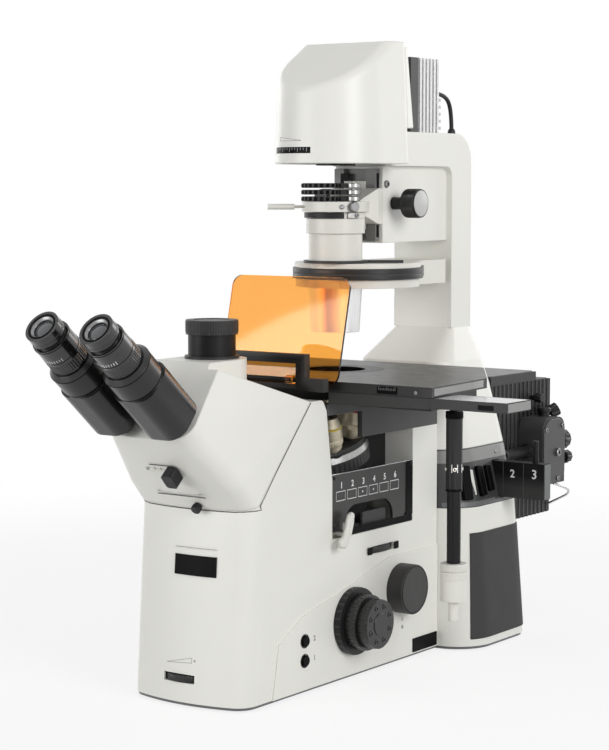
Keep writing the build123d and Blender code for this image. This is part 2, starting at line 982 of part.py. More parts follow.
def eyepiece_tube(x, plate_reach, name):
    """One half of the binocular: prism box, sleeve, eyepiece bore and its hinged plate."""
    bar_turn = math.degrees(math.atan2(-tube_pivot_rise, x))
    with BuildPart() as half:
        with BuildSketch(tube_plane(x)):
            RectangleRounded(2 * prism_half_width, prism_height, prism_corner)
        extrude(amount=prism_length)
        chamfer(half.faces().sort_by_distance(tube_seat + Vector(x, 0, 0))[0].edges(), prism_chamfer)
        with BuildSketch(tube_plane(0, plate_reach)):
            with Locations((0, tube_pivot_rise)):
                Circle(swing_disc_radius)
            with Locations(Location((x / 2, tube_pivot_rise / 2, 0), (0, 0, bar_turn))):
                Rectangle(math.hypot(x, tube_pivot_rise), swing_bar_width)
        extrude(amount=swing_plate_thickness)
        with BuildSketch(tube_plane(0)):
            with Locations((0, tube_pivot_rise)):
                Circle(swing_pin_radius + shaft_gap)
        extrude(amount=swing_pin_length, mode=Mode.SUBTRACT)
        with BuildSketch(tube_plane(x, prism_length)):
            Circle(tube_sleeve_radius)
        extrude(amount=tube_sleeve_length)
        sleeve_end = tube_seat + brow_normal * (prism_length + tube_sleeve_length) + Vector(x, 0, 0)
        chamfer(half.faces().sort_by_distance(sleeve_end)[0].edges(), tube_sleeve_chamfer)
        with BuildSketch(tube_plane(x, prism_length + tube_sleeve_length)):
            Circle(tube_bore_radius)
        extrude(amount=-tube_bore_depth, mode=Mode.SUBTRACT)
    save(half, name)


def eyepiece(x, name):
    """An eyepiece with its barrel, dioptre ring and eyecup, which turns in its tube."""
    start = prism_length + tube_sleeve_length
    with BuildPart() as ocular:
        with BuildSketch(tube_plane(x, start - eyepiece_spigot_length)):
            Circle(eyepiece_spigot_radius)
        extrude(amount=eyepiece_spigot_length + seat_gap)
        with BuildSketch(tube_plane(x, start + seat_gap)):
            Circle(eyepiece_barrel_radius)
        extrude(amount=eyepiece_barrel_length)
        with BuildSketch(tube_plane(x, start + seat_gap + eyepiece_barrel_length)):
            Circle(eyecup_radius)
        extrude(amount=eyecup_length - eyecup_rim_height)
        with BuildSketch(tube_plane(x, start + seat_gap + eyepiece_barrel_length + eyecup_length - eyecup_rim_height)):
            Circle(eyecup_rim_radius)
        extrude(amount=eyecup_rim_height)
        with BuildSketch(tube_plane(x, start + seat_gap + eyepiece_barrel_length + eyecup_length)):
            Circle(eye_lens_radius)
        extrude(amount=-eye_lens_depth, mode=Mode.SUBTRACT)
    save(ocular, name)


for side, name in [(-1, "left"), (1, "right")]:
    plate_reach = (1 + side) / 2 * (swing_plate_thickness + seat_gap)
    eyepiece_tube(side * tube_half_spacing, plate_reach, f"{name}_tube")
    eyepiece(side * tube_half_spacing, f"{name}_eyepiece")

# Thumbwheel in the front
with BuildPart() as brightness_wheel:
    rod_z(wheel_place, wheel_bottom, wheel_bottom + wheel_thickness, wheel_radius)
    rod_z(wheel_place, wheel_bottom, wheel_bottom + wheel_thickness, wheel_pin_radius + shaft_gap, Mode.SUBTRACT)
save(brightness_wheel, "brightness_wheel")

# Push buttons on the right side
button_face_x = panel_x + button_proud


def push_button(z, name):
    """A round button that travels into the side wall."""
    with BuildPart() as button:
        with BuildSketch(Plane.YZ.offset(button_face_x - button_depth)):
            with Locations((button_y, z)):
                Circle(button_radius)
        extrude(amount=button_depth)
        chamfer(button.faces().sort_by(Axis.X)[-1].edges(), button_proud / 4)
    save(button, name)


push_button(button_high_z, "upper_button")
push_button(button_low_z, "lower_button")

# Focus knobs on both sides, on two coaxial shafts
ring_face_x = panel_x + seat_gap
coarse_face_x = ring_face_x + tension_thickness + seat_gap
fine_face_x = coarse_face_x + coarse_thickness + seat_gap

focus_place = (focus_y, focus_z)

with BuildPart() as tension_ring:
    rod_x(focus_place, ring_face_x, ring_face_x + tension_thickness, tension_radius)
    rod_x(focus_place, ring_face_x, ring_face_x + tension_thickness, focus_shaft_radius + shaft_gap, Mode.SUBTRACT)
save(tension_ring, "tension_ring")

with BuildPart() as coarse_knobs:
    coarse_end_x = coarse_face_x + coarse_thickness
    rod_x(focus_place, -coarse_end_x, coarse_end_x, focus_shaft_radius)
    rod_x(focus_place, coarse_face_x, coarse_end_x, coarse_radius)
    rod_x(focus_place, -coarse_end_x, -ring_face_x, coarse_radius)
    rod_x(focus_place, -pinion_length / 2, pinion_length / 2, pinion_radius)
    rod_x(focus_place, -coarse_end_x, coarse_end_x, fine_shaft_radius + shaft_gap, Mode.SUBTRACT)
save(coarse_knobs, "coarse_knobs")

with BuildPart() as fine_knobs:
    fine_end_x = fine_face_x + fine_thickness
    rod_x(focus_place, -fine_end_x, fine_end_x, fine_shaft_radius)
    rod_x(focus_place, fine_face_x, fine_end_x, fine_radius)
    rod_x(focus_place, -fine_end_x, -fine_face_x, fine_radius)
save(fine_knobs, "fine_knobs")

# Large selector knob beside the focus knobs
with BuildPart() as port_knob:
    with BuildSketch(Plane.YZ.offset(panel_x + seat_gap)):
        with Locations((port_knob_y, port_knob_z)):
            Circle(port_knob_radius)
    extrude(amount=port_knob_thickness)
    with BuildSketch(Plane.YZ.offset(panel_x + seat_gap)):
        with Locations((port_knob_y, port_knob_z)):
            Circle(port_knob_stem_radius)
    extrude(amount=-(body_wall + panel_proud + overrun))
    fillet(port_knob.faces().sort_by(Axis.X)[-1].edges(), panel_proud)
save(port_knob, "port_knob")

# Magnification dial, whose rim shows in the right side
dial_axis_reach = math.hypot(*dial_place)
dial_first_angle = math.degrees(math.atan2(-dial_place[1], -dial_place[0]))

with BuildPart() as magnification_dial:
    rod_z(dial_place, dial_bottom, dial_bottom + dial_thickness, dial_radius)
    rod_z(dial_place, dial_bottom, cavity_top + dial_pin_depth, dial_pin_radius)
    with BuildSketch(Plane.XY.offset(dial_bottom)):
        with Locations(dial_place):
            with PolarLocations(dial_axis_reach, dial_window_count, start_angle=dial_first_angle):
                Circle(dial_window_radius)
    extrude(amount=dial_thickness, mode=Mode.SUBTRACT)
save(magnification_dial, "magnification_dial")

# Label panel beside the recess, arched over the filter turret
label_inner_x = column_half_width - panel_thickness
label_profile = [
    (column_rear_y, label_bottom),
    (column_rear_y, label_top),
    (label_rear_y, label_top),
    (label_rear_y, label_bottom),
]

with BuildSketch(Plane.YZ.offset(label_inner_x)) as label_arch:
    with Locations(((label_arch_front_y + label_arch_rear_y) / 2, label_bottom)):
        Rectangle(label_arch_rear_y - label_arch_front_y, 2 * (label_arch_top - label_bottom))
    fillet(label_arch.vertices().group_by(Axis.Y)[-1], label_arch_radius)

with BuildPart() as label_panel:
    plate_x(label_profile, label_inner_x, column_half_width)
    extrude(label_arch.sketch, amount=panel_thickness, mode=Mode.SUBTRACT)
    block(
        label_inner_x,
        column_half_width - seat_gap,
        label_rear_y,
        rear_column_y,
        label_bottom + panel_thickness,
        label_top - panel_thickness,
    )
save(label_panel, "label_panel")

# Filter turret: a disc with cubes, turning about an upright pin
with BuildPart() as cube_turret:
    turret_place = (0, cube_turret_y)
    cube_bottom = cube_turret_bottom + cube_turret_plate
    rod_z(turret_place, cube_turret_bottom, cube_bottom, cube_turret_radius)
    rod_z(turret_place, body_top - turret_pin_depth, cube_turret_bottom, turret_pin_radius)
    with BuildSketch(Plane.XY.offset(cube_bottom)):
        with Locations(turret_place):
            with PolarLocations(cube_circle_radius, cube_count, start_angle=90):
                Rectangle(cube_size, cube_size)
    extrude(amount=cube_height)
    with BuildSketch(Plane.XY.offset(cube_turret_bottom)):
        with Locations(turret_place):
            with PolarLocations(cube_circle_radius, cube_count, start_angle=90):
                Circle(cube_window_radius)
    extrude(amount=cube_turret_plate + cube_height, mode=Mode.SUBTRACT)
save(cube_turret, "cube_turret")

# Shutter lever, which turns about a pin in the body's top
with BuildPart() as shutter_lever:
    shutter_top = shutter_bottom + shutter_blade
    rod_z((shutter_x, shutter_y), body_top - turret_pin_depth, shutter_bottom, shutter_pin_radius)
    rod_z((shutter_x, shutter_y), shutter_bottom, shutter_top, shutter_hub_radius)
    block(
        shutter_x,
        shutter_x + shutter_reach,
        shutter_y - shutter_tip_radius,
        shutter_y + shutter_tip_radius,
        shutter_bottom,
        shutter_top,
    )
    rod_z((shutter_x + shutter_reach, shutter_y), shutter_bottom, shutter_tip_top, shutter_tip_radius)
save(shutter_lever, "shutter_lever")

# Focus carriage: runs in the rear column's channel and holds the nosepiece
tilt = math.radians(nosepiece_tilt)
nose_axis = Vector(0, -math.sin(tilt), math.cos(tilt))
nose_side = Vector(0, math.cos(tilt), math.sin(tilt))
nose_origin = Vector(0, nosepiece_y, nosepiece_z)
nose_height = nosepiece_rim + nosepiece_cone

with BuildPart() as focus_carriage:
    block(
        -carriage_half_width,
        carriage_half_width,
        rear_column_y + seat_gap,
        rear_column_y + channel_depth - seat_gap,
        carriage_bottom,
        carriage_top,
    )
    block(
        -carriage_arm_half_width,
        carriage_arm_half_width,
        carriage_arm_front_y,
        rear_column_y + seat_gap,
        carriage_arm_bottom,
        carriage_arm_top,
    )
    block(-rack_half_width, rack_half_width, rack_y, rack_y + rack_depth, rack_bottom, carriage_bottom)
    bar_along(nose_origin - nose_axis * seat_gap, -nose_axis, nosepiece_boss_length, nosepiece_boss_radius)
    bar_along(nose_origin, -nose_axis, nosepiece_pin_length + seat_gap, nosepiece_pin_radius + shaft_gap, Mode.SUBTRACT)
    rod_z((0, 0), carriage_arm_bottom, nosepiece_z, light_bore_radius, Mode.SUBTRACT)
save(focus_carriage, "focus_carriage")

# Nosepiece: a tilted turret with an objective standing upright on the optical axis
seat_reach = (nose_height * math.sin(tilt) - nosepiece_y) / math.cos(tilt)
objective_places = []
for index in range(objective_count):
    turn = math.tau * index / objective_count
    outward = nose_side * math.cos(turn) + Vector(math.sin(turn), 0, 0)
    seat = nose_origin + nose_axis * nose_height + outward * seat_reach
    objective_places.append((seat, nose_axis * math.cos(tilt) + outward * math.sin(tilt)))

with BuildPart() as nosepiece:
    bar_along(nose_origin, nose_axis, nosepiece_rim, nosepiece_radius)
    cone_along(
        nose_origin + nose_axis * nosepiece_rim,
        nose_axis,
        nosepiece_cone,
        nosepiece_radius,
        nosepiece_top_radius,
    )
    bar_along(nose_origin, -nose_axis, nosepiece_pin_length, nosepiece_pin_radius)
    for seat, direction in objective_places:
        bar_along(seat, -direction, nosepiece_seat_thickness, nosepiece_seat_radius)
    for seat, direction in objective_places:
        bar_along(seat, -direction, nosepiece_radius, objective_bore_radius, Mode.SUBTRACT)
        bar_along(seat, direction, objective_collar_length, objective_collar_radius + seat_gap, Mode.SUBTRACT)
save(nosepiece, "nosepiece")

with BuildPart() as objectives:
    for seat, direction in objective_places:
        barrel_start = seat + direction * objective_collar_length
        tip_start = barrel_start + direction * objective_barrel_length
        tip_end = tip_start + direction * objective_tip_length
        bar_along(seat, -direction, objective_thread_length, objective_thread_radius)
        bar_along(seat, direction, objective_collar_length, objective_collar_radius)
        bar_along(barrel_start, direction, objective_barrel_length, objective_barrel_radius)
        cone_along(tip_start, direction, objective_tip_length, objective_barrel_radius, objective_tip_radius)
        objective_length = objective_collar_length + objective_barrel_length + objective_tip_length
        bar_along(
            tip_end,
            -direction,
            objective_length + objective_thread_length,
            objective_light_radius,
            Mode.SUBTRACT,
        )
save(objectives, "objectives")

# Stage support: a frame on the rear column, reaching forward to the front column
with BuildPart() as stage_support:
    inner_half = column_half_width - support_rail
    for side in (-1, 1):
        middle_x = side * (column_half_width - support_rail / 2)
        block(
            middle_x - support_rail / 2,
            middle_x + support_rail / 2,
            support_rail_front_y,
            body_rear_y,
            support_bottom,
            support_mid,
        )
    block(-column_half_width, column_half_width, rear_column_y, body_rear_y, support_bottom, support_mid)
    block(-column_half_width, column_half_width, support_front_y, body_rear_y, support_mid, support_top)
    block(-inner_half, inner_half, support_front_y + support_bar, rear_column_y, support_mid, support_top, Mode.SUBTRACT)
save(stage_support, "stage_support")

# Lower stage slide, which moves front to back and carries the hanging handle
carriage_outline = [
    (stage_carriage_left, stage_carriage_front),
    (stage_carriage_right, stage_carriage_front),
    (stage_shoulder_x - stage_carriage_inset, stage_shoulder_y - stage_carriage_inset),
    (stage_corner_x - stage_carriage_inset, stage_carriage_rear),
    (stage_carriage_left, stage_carriage_rear),
]

with BuildPart() as stage_y_carriage:
    with BuildSketch(Plane.XY.offset(carriage_plate_bottom)):
        Polygon(*carriage_outline, align=None)
    extrude(amount=carriage_plate_top - carriage_plate_bottom)
    block(
        stage_carriage_right,
        stage_rail_right,
        stage_rail_front,
        stage_rail_rear,
        stage_rail_bottom,
        carriage_plate_top,
    )
    block(
        -stage_window_half_width,
        stage_window_half_width,
        stage_window_front,
        stage_window_rear,
        carriage_plate_bottom,
        carriage_plate_top,
        Mode.SUBTRACT,
    )
    block(
        -stage_notch_half_width,
        stage_notch_half_width,
        stage_carriage_front,
        stage_notch_rear,
        carriage_plate_bottom,
        carriage_plate_top,
        Mode.SUBTRACT,
    )
    handle_place = (handle_x, handle_y)
    handle_down = Vector(0, 0, -1)
    rod_z(handle_place, handle_neck_z, carriage_plate_bottom, handle_neck_radius)
    cone_along(
        Vector(handle_x, handle_y, handle_neck_z),
        handle_down,
        handle_neck_z - handle_shoulder_z,
        handle_neck_radius,
        handle_sleeve_radius,
    )
    rod_z(handle_place, handle_sleeve_bottom, handle_shoulder_z, handle_sleeve_radius)
    rod_z(handle_place, handle_stem_bottom, handle_sleeve_bottom, handle_stem_radius)
    rod_z(handle_place, handle_core_end_z, handle_stem_bottom, handle_core_radius)
save(stage_y_carriage, "stage_y_carriage")

with BuildPart() as stage_y_knob:
    rod_z(handle_place, y_knob_bottom, handle_stem_bottom - seat_gap, hand_knob_radius)
    rod_z(handle_place, y_knob_bottom, handle_stem_bottom - seat_gap, handle_core_radius + shaft_gap, Mode.SUBTRACT)
save(stage_y_knob, "stage_y_knob")

with BuildPart() as stage_x_knob:
    rod_z(handle_place, x_knob_bottom, y_knob_bottom - seat_gap, hand_knob_radius)
    rod_z(handle_place, handle_end_z, x_knob_bottom, handle_end_radius)
    rod_z(
        handle_place,
        handle_core_end_z - seat_gap,
        y_knob_bottom - seat_gap,
        handle_core_radius + shaft_gap,
        Mode.SUBTRACT,
    )
save(stage_x_knob, "stage_x_knob")

# Stage plate with its round opening, and the insert that lies in it
stage_outline = [
    (stage_left, stage_front),
    (stage_right, stage_front),
    (stage_shoulder_x, stage_shoulder_y),
    (stage_corner_x, stage_corner_y),
    (stage_corner_x - stage_rear + stage_corner_y, stage_rear),
    (stage_left + stage_left_cut, stage_rear),
    (stage_left, stage_rear - stage_left_cut),
]

with BuildPart() as stage_plate:
    with BuildSketch(Plane.XY.offset(stage_plate_bottom)):
        Polygon(*stage_outline, align=None)
    extrude(amount=stage_top - stage_plate_bottom)
    rod_z((0, 0), stage_plate_bottom, stage_top, stage_bore_radius, Mode.SUBTRACT)
    rod_z((0, 0), stage_top - insert_thickness, stage_top, insert_seat_radius, Mode.SUBTRACT)
save(stage_plate, "stage_plate")

with BuildPart() as stage_insert:
    rod_z((0, 0), stage_top - insert_thickness, stage_top, insert_radius)
    rod_z((0, 0), stage_top - insert_thickness, stage_top, insert_hole_radius, Mode.SUBTRACT)
save(stage_insert, "stage_insert")

# Shield bracket on the front edge of the stage plate
bracket_leg_inner = bracket_leg_outer - bracket_leg_width

with BuildPart() as shield_bracket:
    for side in (-1, 1):
        leg_x = side * (bracket_leg_outer - bracket_leg_width / 2)
        leg_left = leg_x - bracket_leg_width / 2
        leg_right = leg_x + bracket_leg_width / 2
        block(leg_left, leg_right, shield_leg_front_y, shield_leg_rear_y, bracket_bottom, bracket_top)
        block(
            leg_left,
            leg_right,
            shield_leg_front_y,
            stage_front,
            bracket_bottom,
            bracket_bottom + bracket_foot_height,
        )
    block(
        -bracket_leg_inner,
        bracket_leg_inner,
        shield_leg_front_y,
        shield_leg_rear_y,
        bracket_top - bracket_bar_height,
        bracket_top,
    )
    rod_x((rod_y_place, rod_z_place), -bracket_leg_inner, bracket_leg_inner, rod_radius)
    block(
        bracket_leg_outer,
        bracket_leg_outer + clamp_width,
        shield_leg_front_y,
        shield_leg_rear_y,
        bracket_bottom,
        bracket_bottom + clamp_height,
    )
save(shield_bracket, "shield_bracket")

# Shield: a leaning sheet held on the bracket's rod by two clips
shield_run = Vector(0, shield_high_y - shield_low_y, shield_top - shield_bottom)
shield_rise = shield_run.normalized()
shield_front = Vector(0, -shield_rise.Z, shield_rise.Y)
shield_plane = Plane(
    origin=Vector((shield_left + shield_right) / 2, shield_low_y, shield_bottom) + shield_run / 2,
    x_dir=(1, 0, 0),
    z_dir=shield_front,
)

with BuildPart() as shield:
    with BuildSketch(shield_plane):
        RectangleRounded(shield_right - shield_left, shield_run.length, shield_corner)
    extrude(amount=-shield_thickness)
    for side in (-1, 1):
        clip_left = side * clip_x - clip_width / 2
        clip_right = side * clip_x + clip_width / 2
        rod_x((rod_y_place, rod_z_place), clip_left, clip_right, clip_radius)
        block(
            clip_left,
            clip_right,
            rod_y_place,
            shield_low_y + shield_thickness / 2,
            rod_z_place - clip_arm / 2,
            rod_z_place + clip_arm / 2,
        )
    rod_x(
        (rod_y_place, rod_z_place),
        -clip_x - clip_width,
        clip_x + clip_width,
        rod_radius + shaft_gap,
        Mode.SUBTRACT,
    )
save(shield, "shield")

# Slider of the reflected light path, with a pull pin
with BuildPart() as epi_slider:
    slider_front = slider_y - slider_depth / 2
    block(slider_inner_x, slider_outer_x, slider_front, slider_front + slider_depth, slider_bottom, slider_top)
    pin_x = slider_outer_x - slider_depth
    rod_z((pin_x, slider_y), slider_top, slider_top + slider_pin_length, slider_pin_radius)
save(epi_slider, "epi_slider")

# Arm: rises from the rear section and reaches forward to the lamp head
arm_profile = [
    (arm_front_y, arm_foot_z),
    (arm_rear_y, arm_foot_z),
    (arm_rear_y, arm_top),
    (lamp_rear_y, arm_top),
    (lamp_rear_y, arm_beam_bottom),
    (arm_front_y, arm_beam_bottom),
]
low_section = (arm_foot_low_z, arm_foot_low_half, arm_foot_mid_y, arm_foot_low_back, *arm_foot_low_radii)
mid_section = (arm_foot_mid_z, arm_foot_mid_half, arm_foot_mid_y, arm_foot_mid_back, *arm_foot_mid_radii)
top_section = (arm_foot_z, arm_half_width, arm_front_y, arm_rear_y, arm_edge_radius, arm_edge_radius)

with BuildSketch(Plane.YZ.offset(-arm_half_width)) as arm_side:
    Polygon(*arm_profile, align=None)
    fillet(arm_side.vertices().sort_by_distance((arm_front_y, arm_beam_bottom, 0))[0], arm_inner_radius)
    fillet(arm_side.vertices().sort_by_distance((arm_rear_y, arm_top, 0))[0], arm_corner_radius)

with BuildPart() as arm:
    extrude(arm_side.sketch, amount=2 * arm_half_width)
    loft(sections=[rear_outline(*neck_section), rear_outline(*low_section)])
    loft(sections=[rear_outline(*low_section), rear_outline(*mid_section)])
    loft(sections=[rear_outline(*mid_section), rear_outline(*top_section)])
    block(-web_half_width, web_half_width, web_front_y, arm_front_y, web_bottom, arm_beam_bottom)
    rod_x(
        (condenser_knob_y, condenser_knob_z),
        -web_half_width,
        web_half_width,
        condenser_shaft_radius + shaft_gap,
        Mode.SUBTRACT,
    )
save(arm, "arm")

# Lamp head: a rounded cover with a sloping facet, its floor and its lamp
facet_plane = Plane(
    origin=(0, lamp_facet_y, lamp_facet_z),
    x_dir=(1, 0, 0),
    z_dir=(0, lamp_facet_z - lamp_facet_top_z, lamp_facet_top_y - lamp_facet_y),
)


def lamp_plan(level, inset):
    """The lamp head's plan: round nose, straight sides and a square back."""
    half = lamp_half_width - lamp_draft * (level - lamp_bottom) - inset
    rear = lamp_rear_y - inset
    with BuildSketch(Plane.XY.offset(level)) as plan:
        with BuildLine():
            Polyline((half, lamp_nose_y), (half, rear), (-half, rear), (-half, lamp_nose_y))
            ThreePointArc((-half, lamp_nose_y), (0, lamp_nose_y - half), (half, lamp_nose_y))
        make_face()
        fillet(plan.vertices().group_by(Axis.Y)[-1], lamp_corner - inset)
    return plan.sketch


def lamp_body(inset):
    """The lamp head's outside or inside shape."""
    with BuildPart() as body:
        loft(sections=[lamp_plan(lamp_bottom, inset), lamp_plan(lamp_top - inset, inset)])
        split(bisect_by=facet_plane.offset(-inset), keep=Keep.BOTTOM)
    return body.part


lamp_outside = lamp_body(0)
lamp_inside = lamp_body(lamp_wall)

with BuildPart() as lamp_head_cover:
    add(lamp_outside)
    facet_middle = (0, (lamp_facet_y + lamp_facet_top_y) / 2, (lamp_facet_z + lamp_facet_top_z) / 2)
    fillet(lamp_head_cover.faces().sort_by_distance(facet_middle)[0].edges(), lamp_facet_soft)
    add(lamp_inside, mode=Mode.SUBTRACT)
save(lamp_head_cover, "lamp_head_cover")

floor_top = lamp_floor_bottom + lamp_floor_thickness

with BuildPart() as lamp_head_floor:
    extrude(lamp_plan(floor_top, lamp_wall), amount=-lamp_floor_thickness)
    rod_z((0, 0), lamp_floor_bottom, floor_top, lamp_aperture_radius, Mode.SUBTRACT)
    rod_z((0, 0), lamp_floor_bottom - lamp_floor_thickness + seat_gap, floor_top, lamp_aperture_radius)
save(lamp_head_floor, "lamp_head_floor")

mirror_half = mirror_size / 2
mirror_out = Vector(0, 1, -1).normalized()

with BuildPart() as field_lamp:
    with BuildSketch(Plane(origin=(0, mirror_y, mirror_z), x_dir=(1, 0, 0), z_dir=mirror_out)):
        Rectangle(mirror_size, mirror_size)
    extrude(amount=-mirror_thickness)
    for side in (-1, 1):
        cheek_x = side * (mirror_half + lamp_cheek / 2)
        block(
            cheek_x - lamp_cheek / 2,
            cheek_x + lamp_cheek / 2,
            lamp_cheek_front_y,
            lamp_cheek_rear_y,
            floor_top,
            lamp_cheek_top,
        )
    block(
        -mirror_half - lamp_cheek,
        mirror_half + lamp_cheek,
        lamp_cheek_rear_y,
        lamp_cheek_rear_y + lamp_back_thickness,
        floor_top,
        lamp_cheek_top,
    )
    led_rear_y = lamp_rear_y - lamp_wall
    rod_y((0, mirror_z), led_rear_y - led_length, led_rear_y, led_radius)
save(field_lamp, "field_lamp")

# Lamp box on the beam, its ribbed heat sink and the short cable into the arm
with BuildPart() as lamp_box:
    block(-box_neck_half_width, box_neck_half_width, lamp_rear_y, box_plate_front_y, arm_top, box_top)
    block(-box_half_width, box_half_width, box_plate_front_y, box_plate_rear_y, arm_top, box_top)
save(lamp_box, "lamp_box")

with BuildPart() as lamp_heat_sink:
    block(-box_half_width, box_half_width, box_plate_rear_y, sink_rear_y, arm_top, box_top)
    rib_pitch = (sink_rear_y - box_plate_rear_y) / sink_rib_count
    for index in range(sink_rib_count):
        groove_front = box_plate_rear_y + index * rib_pitch
        groove_rear = groove_front + rib_pitch * sink_rib_share
        for side in (-1, 1):
            groove_x = side * (box_half_width - sink_rib_depth / 2)
            block(
                groove_x - sink_rib_depth / 2,
                groove_x + sink_rib_depth / 2,
                groove_front,
                groove_rear,
                arm_top,
                box_top,
                Mode.SUBTRACT,
            )
    block(-fin_core_half_width, fin_core_half_width, sink_rear_y, small_fin_rear_y, arm_top, small_fin_top)
    fin_pitch = (small_fin_top - arm_top) / small_fin_count
    for index in range(small_fin_count):
        fin_top = small_fin_top - index * fin_pitch
        block(
            -small_fin_half_width,
            small_fin_half_width,
            sink_rear_y,
            small_fin_rear_y,
            fin_top - small_fin_thickness,
            fin_top,
        )
save(lamp_heat_sink, "lamp_heat_sink")


def bend_radii(points):
    """A radius for each turn of a route, from its shorter run and its angle."""
    runs = [Vector(*b) - Vector(*a) for a, b in zip(points, points[1:])]
    radii = []
    for before, after in zip(runs, runs[1:]):
        half_turn = math.radians(before.get_angle(after)) / 2
        radii.append(bend_share * min(before.length, after.length) / math.tan(half_turn))
    return radii


def cord(points, radius):
    """A round cord laid along a route of straight runs and bends."""
    radii = bend_radii(points)
    print("bend radii", [round(value, 2) for value in radii])
    with BuildLine() as route:
        FilletPolyline(*points, radius=radii)
    path = route.wires()[0]
    with BuildSketch(Plane(origin=path @ 0, z_dir=path % 0)) as section:
        Circle(radius)
    with BuildPart() as body:
        sweep(section.sketch, path=path)
    print("cord length", round(path.length, 2), "volume", round(body.part.volume, 1))
    print("section times length", round(math.pi * radius**2 * path.length, 1))
    return body


save(cord(cable_route, cable_radius), "lamp_cable")

# Condenser rail on the front of the arm's web
with BuildPart() as condenser_rail:
    block(-rail_half_width, rail_half_width, rail_front_y, web_front_y, rail_bottom, rail_top)
    block(
        -rail_slot_half_width,
        rail_slot_half_width,
        rail_front_y,
        rail_front_y + rail_slot_depth,
        rail_bottom,
        rail_top,
        Mode.SUBTRACT,
    )
save(condenser_rail, "condenser_rail")

with BuildPart() as condenser_knobs:
    knob_place = (condenser_knob_y, condenser_knob_z)
    knob_near_x = web_half_width + condenser_shaft_reach
    rod_x(knob_place, -knob_near_x, knob_near_x, condenser_shaft_radius)
    rod_x(knob_place, knob_near_x, knob_near_x + condenser_knob_thickness, condenser_knob_radius)
    rod_x(knob_place, -knob_near_x - condenser_knob_thickness, -knob_near_x, condenser_knob_radius)
save(condenser_knobs, "condenser_knobs")

# Condenser carriage: slide, bracket, ring plate, tubes and the plates round its turret
lever_angle = math.atan2(lever_out_y, lever_out_x)
lever_out = Vector(math.cos(lever_angle), math.sin(lever_angle), 0)
turret_centre = (0, turret_y)


def bracket_section(y, half, bottom, top):
    """A rectangle across the condenser bracket."""
    with BuildSketch(Plane.XZ.offset(-y)) as face:
        with Locations((0, (bottom + top) / 2)):
            Rectangle(2 * half, top - bottom)
    return face.sketch


with BuildPart() as condenser_carriage:
    slide_front = rail_front_y - seat_gap
    block(-slide_half_width, slide_half_width, slide_front, rail_front_y + slide_depth, slide_bottom, slide_top)
    loft(
        sections=[
            bracket_section(bracket_front_y, bracket_half_width, ring_plate_bottom, ring_plate_top),
            bracket_section(slide_front, web_half_width, bracket_back_bottom, bracket_back_top),
        ]
    )
    cheek_inner = rail_half_width + seat_gap
    for side in (-1, 1):
        cheek_x = side * (web_half_width + cheek_inner) / 2
        block(
            cheek_x - (web_half_width - cheek_inner) / 2,
            cheek_x + (web_half_width - cheek_inner) / 2,
            slide_front,
            web_front_y - seat_gap,
            bracket_back_bottom,
            bracket_back_top,
        )
    rod_z((0, 0), ring_plate_bottom, ring_plate_top, ring_plate_radius)
    rod_z((0, 0), upper_tube_top, ring_plate_bottom, dark_ring_radius)
    rod_z((0, 0), upper_tube_bottom, upper_tube_top, upper_tube_radius)
    rod_z((0, 0), cover_plate_top, upper_tube_bottom, lower_tube_radius)
    rod_z(turret_centre, cover_plate_bottom, cover_plate_top, cover_plate_radius)
    rod_z((0, 0), cover_plate_bottom, cover_plate_top, lower_tube_radius)
    rod_z(turret_centre, lower_plate_bottom, lower_plate_top, lower_plate_radius)
    rod_z((0, 0), lower_plate_bottom, lower_plate_top, lens_cup_top_radius)
    for bottom, top in [(cover_plate_bottom, cover_plate_top), (lower_plate_bottom, lower_plate_top)]:
        block(
            -condenser_block_half_width,
            condenser_block_half_width,
            turret_y,
            condenser_block_front_y,
            bottom,
            top,
        )
        rod_z(turret_centre, bottom, top, turret_pin + shaft_gap, Mode.SUBTRACT)
    block(
        -condenser_block_half_width,
        condenser_block_half_width,
        condenser_block_front_y,
        condenser_block_rear_y,
        lower_plate_bottom,
        cover_plate_top,
    )
    rod_z((0, 0), lower_plate_bottom, upper_tube_top, condenser_bore_radius, Mode.SUBTRACT)
    rod_z((0, 0), upper_tube_top, ring_plate_top, light_bore_radius, Mode.SUBTRACT)
    with BuildSketch(Plane.XY.offset(lever_slot_bottom)):
        Circle(lever_disc_radius + seat_gap)
        with BuildLine():
            slot_edge = ring_plate_radius + overrun
            slot_start = math.degrees(lever_angle) - lever_swing - lever_slot_margin
            slot_end = math.degrees(lever_angle) + lever_swing + lever_slot_margin
            near = PolarLine((0, 0), slot_edge, angle=slot_start)
            far = PolarLine((0, 0), slot_edge, angle=slot_end)
            ThreePointArc(near @ 1, (slot_edge * lever_out.X, slot_edge * lever_out.Y), far @ 1)
        make_face()
    extrude(amount=lever_slot_top - lever_slot_bottom, mode=Mode.SUBTRACT)
    rod_z((post_x, post_y), ring_plate_top, ring_plate_top + seat_gap, post_radius)
    rod_z((post_x, post_y), ring_plate_top, ring_plate_top + holder_count * holder_pitch, post_pin_radius)
save(condenser_carriage, "condenser_carriage")

# Diaphragm lever in the ring plate, with its long handle
with BuildPart() as diaphragm_lever:
    disc_bottom = (lever_slot_bottom + lever_slot_top - lever_disc_thickness) / 2
    disc_middle = (lever_slot_bottom + lever_slot_top) / 2
    rod_z((0, 0), disc_bottom, disc_bottom + lever_disc_thickness, lever_disc_radius)
    rod_start = lever_out * (lever_disc_radius - overrun) + Vector(0, 0, disc_middle)
    bar_along(rod_start, lever_out, lever_reach - lever_disc_radius + overrun, lever_rod_radius)
    bar_along(lever_out * lever_reach + Vector(0, 0, disc_middle), lever_out, lever_handle_length, lever_handle_radius)
    rod_z((0, 0), disc_bottom, disc_bottom + lever_disc_thickness, light_bore_radius, Mode.SUBTRACT)
save(diaphragm_lever, "diaphragm_lever")

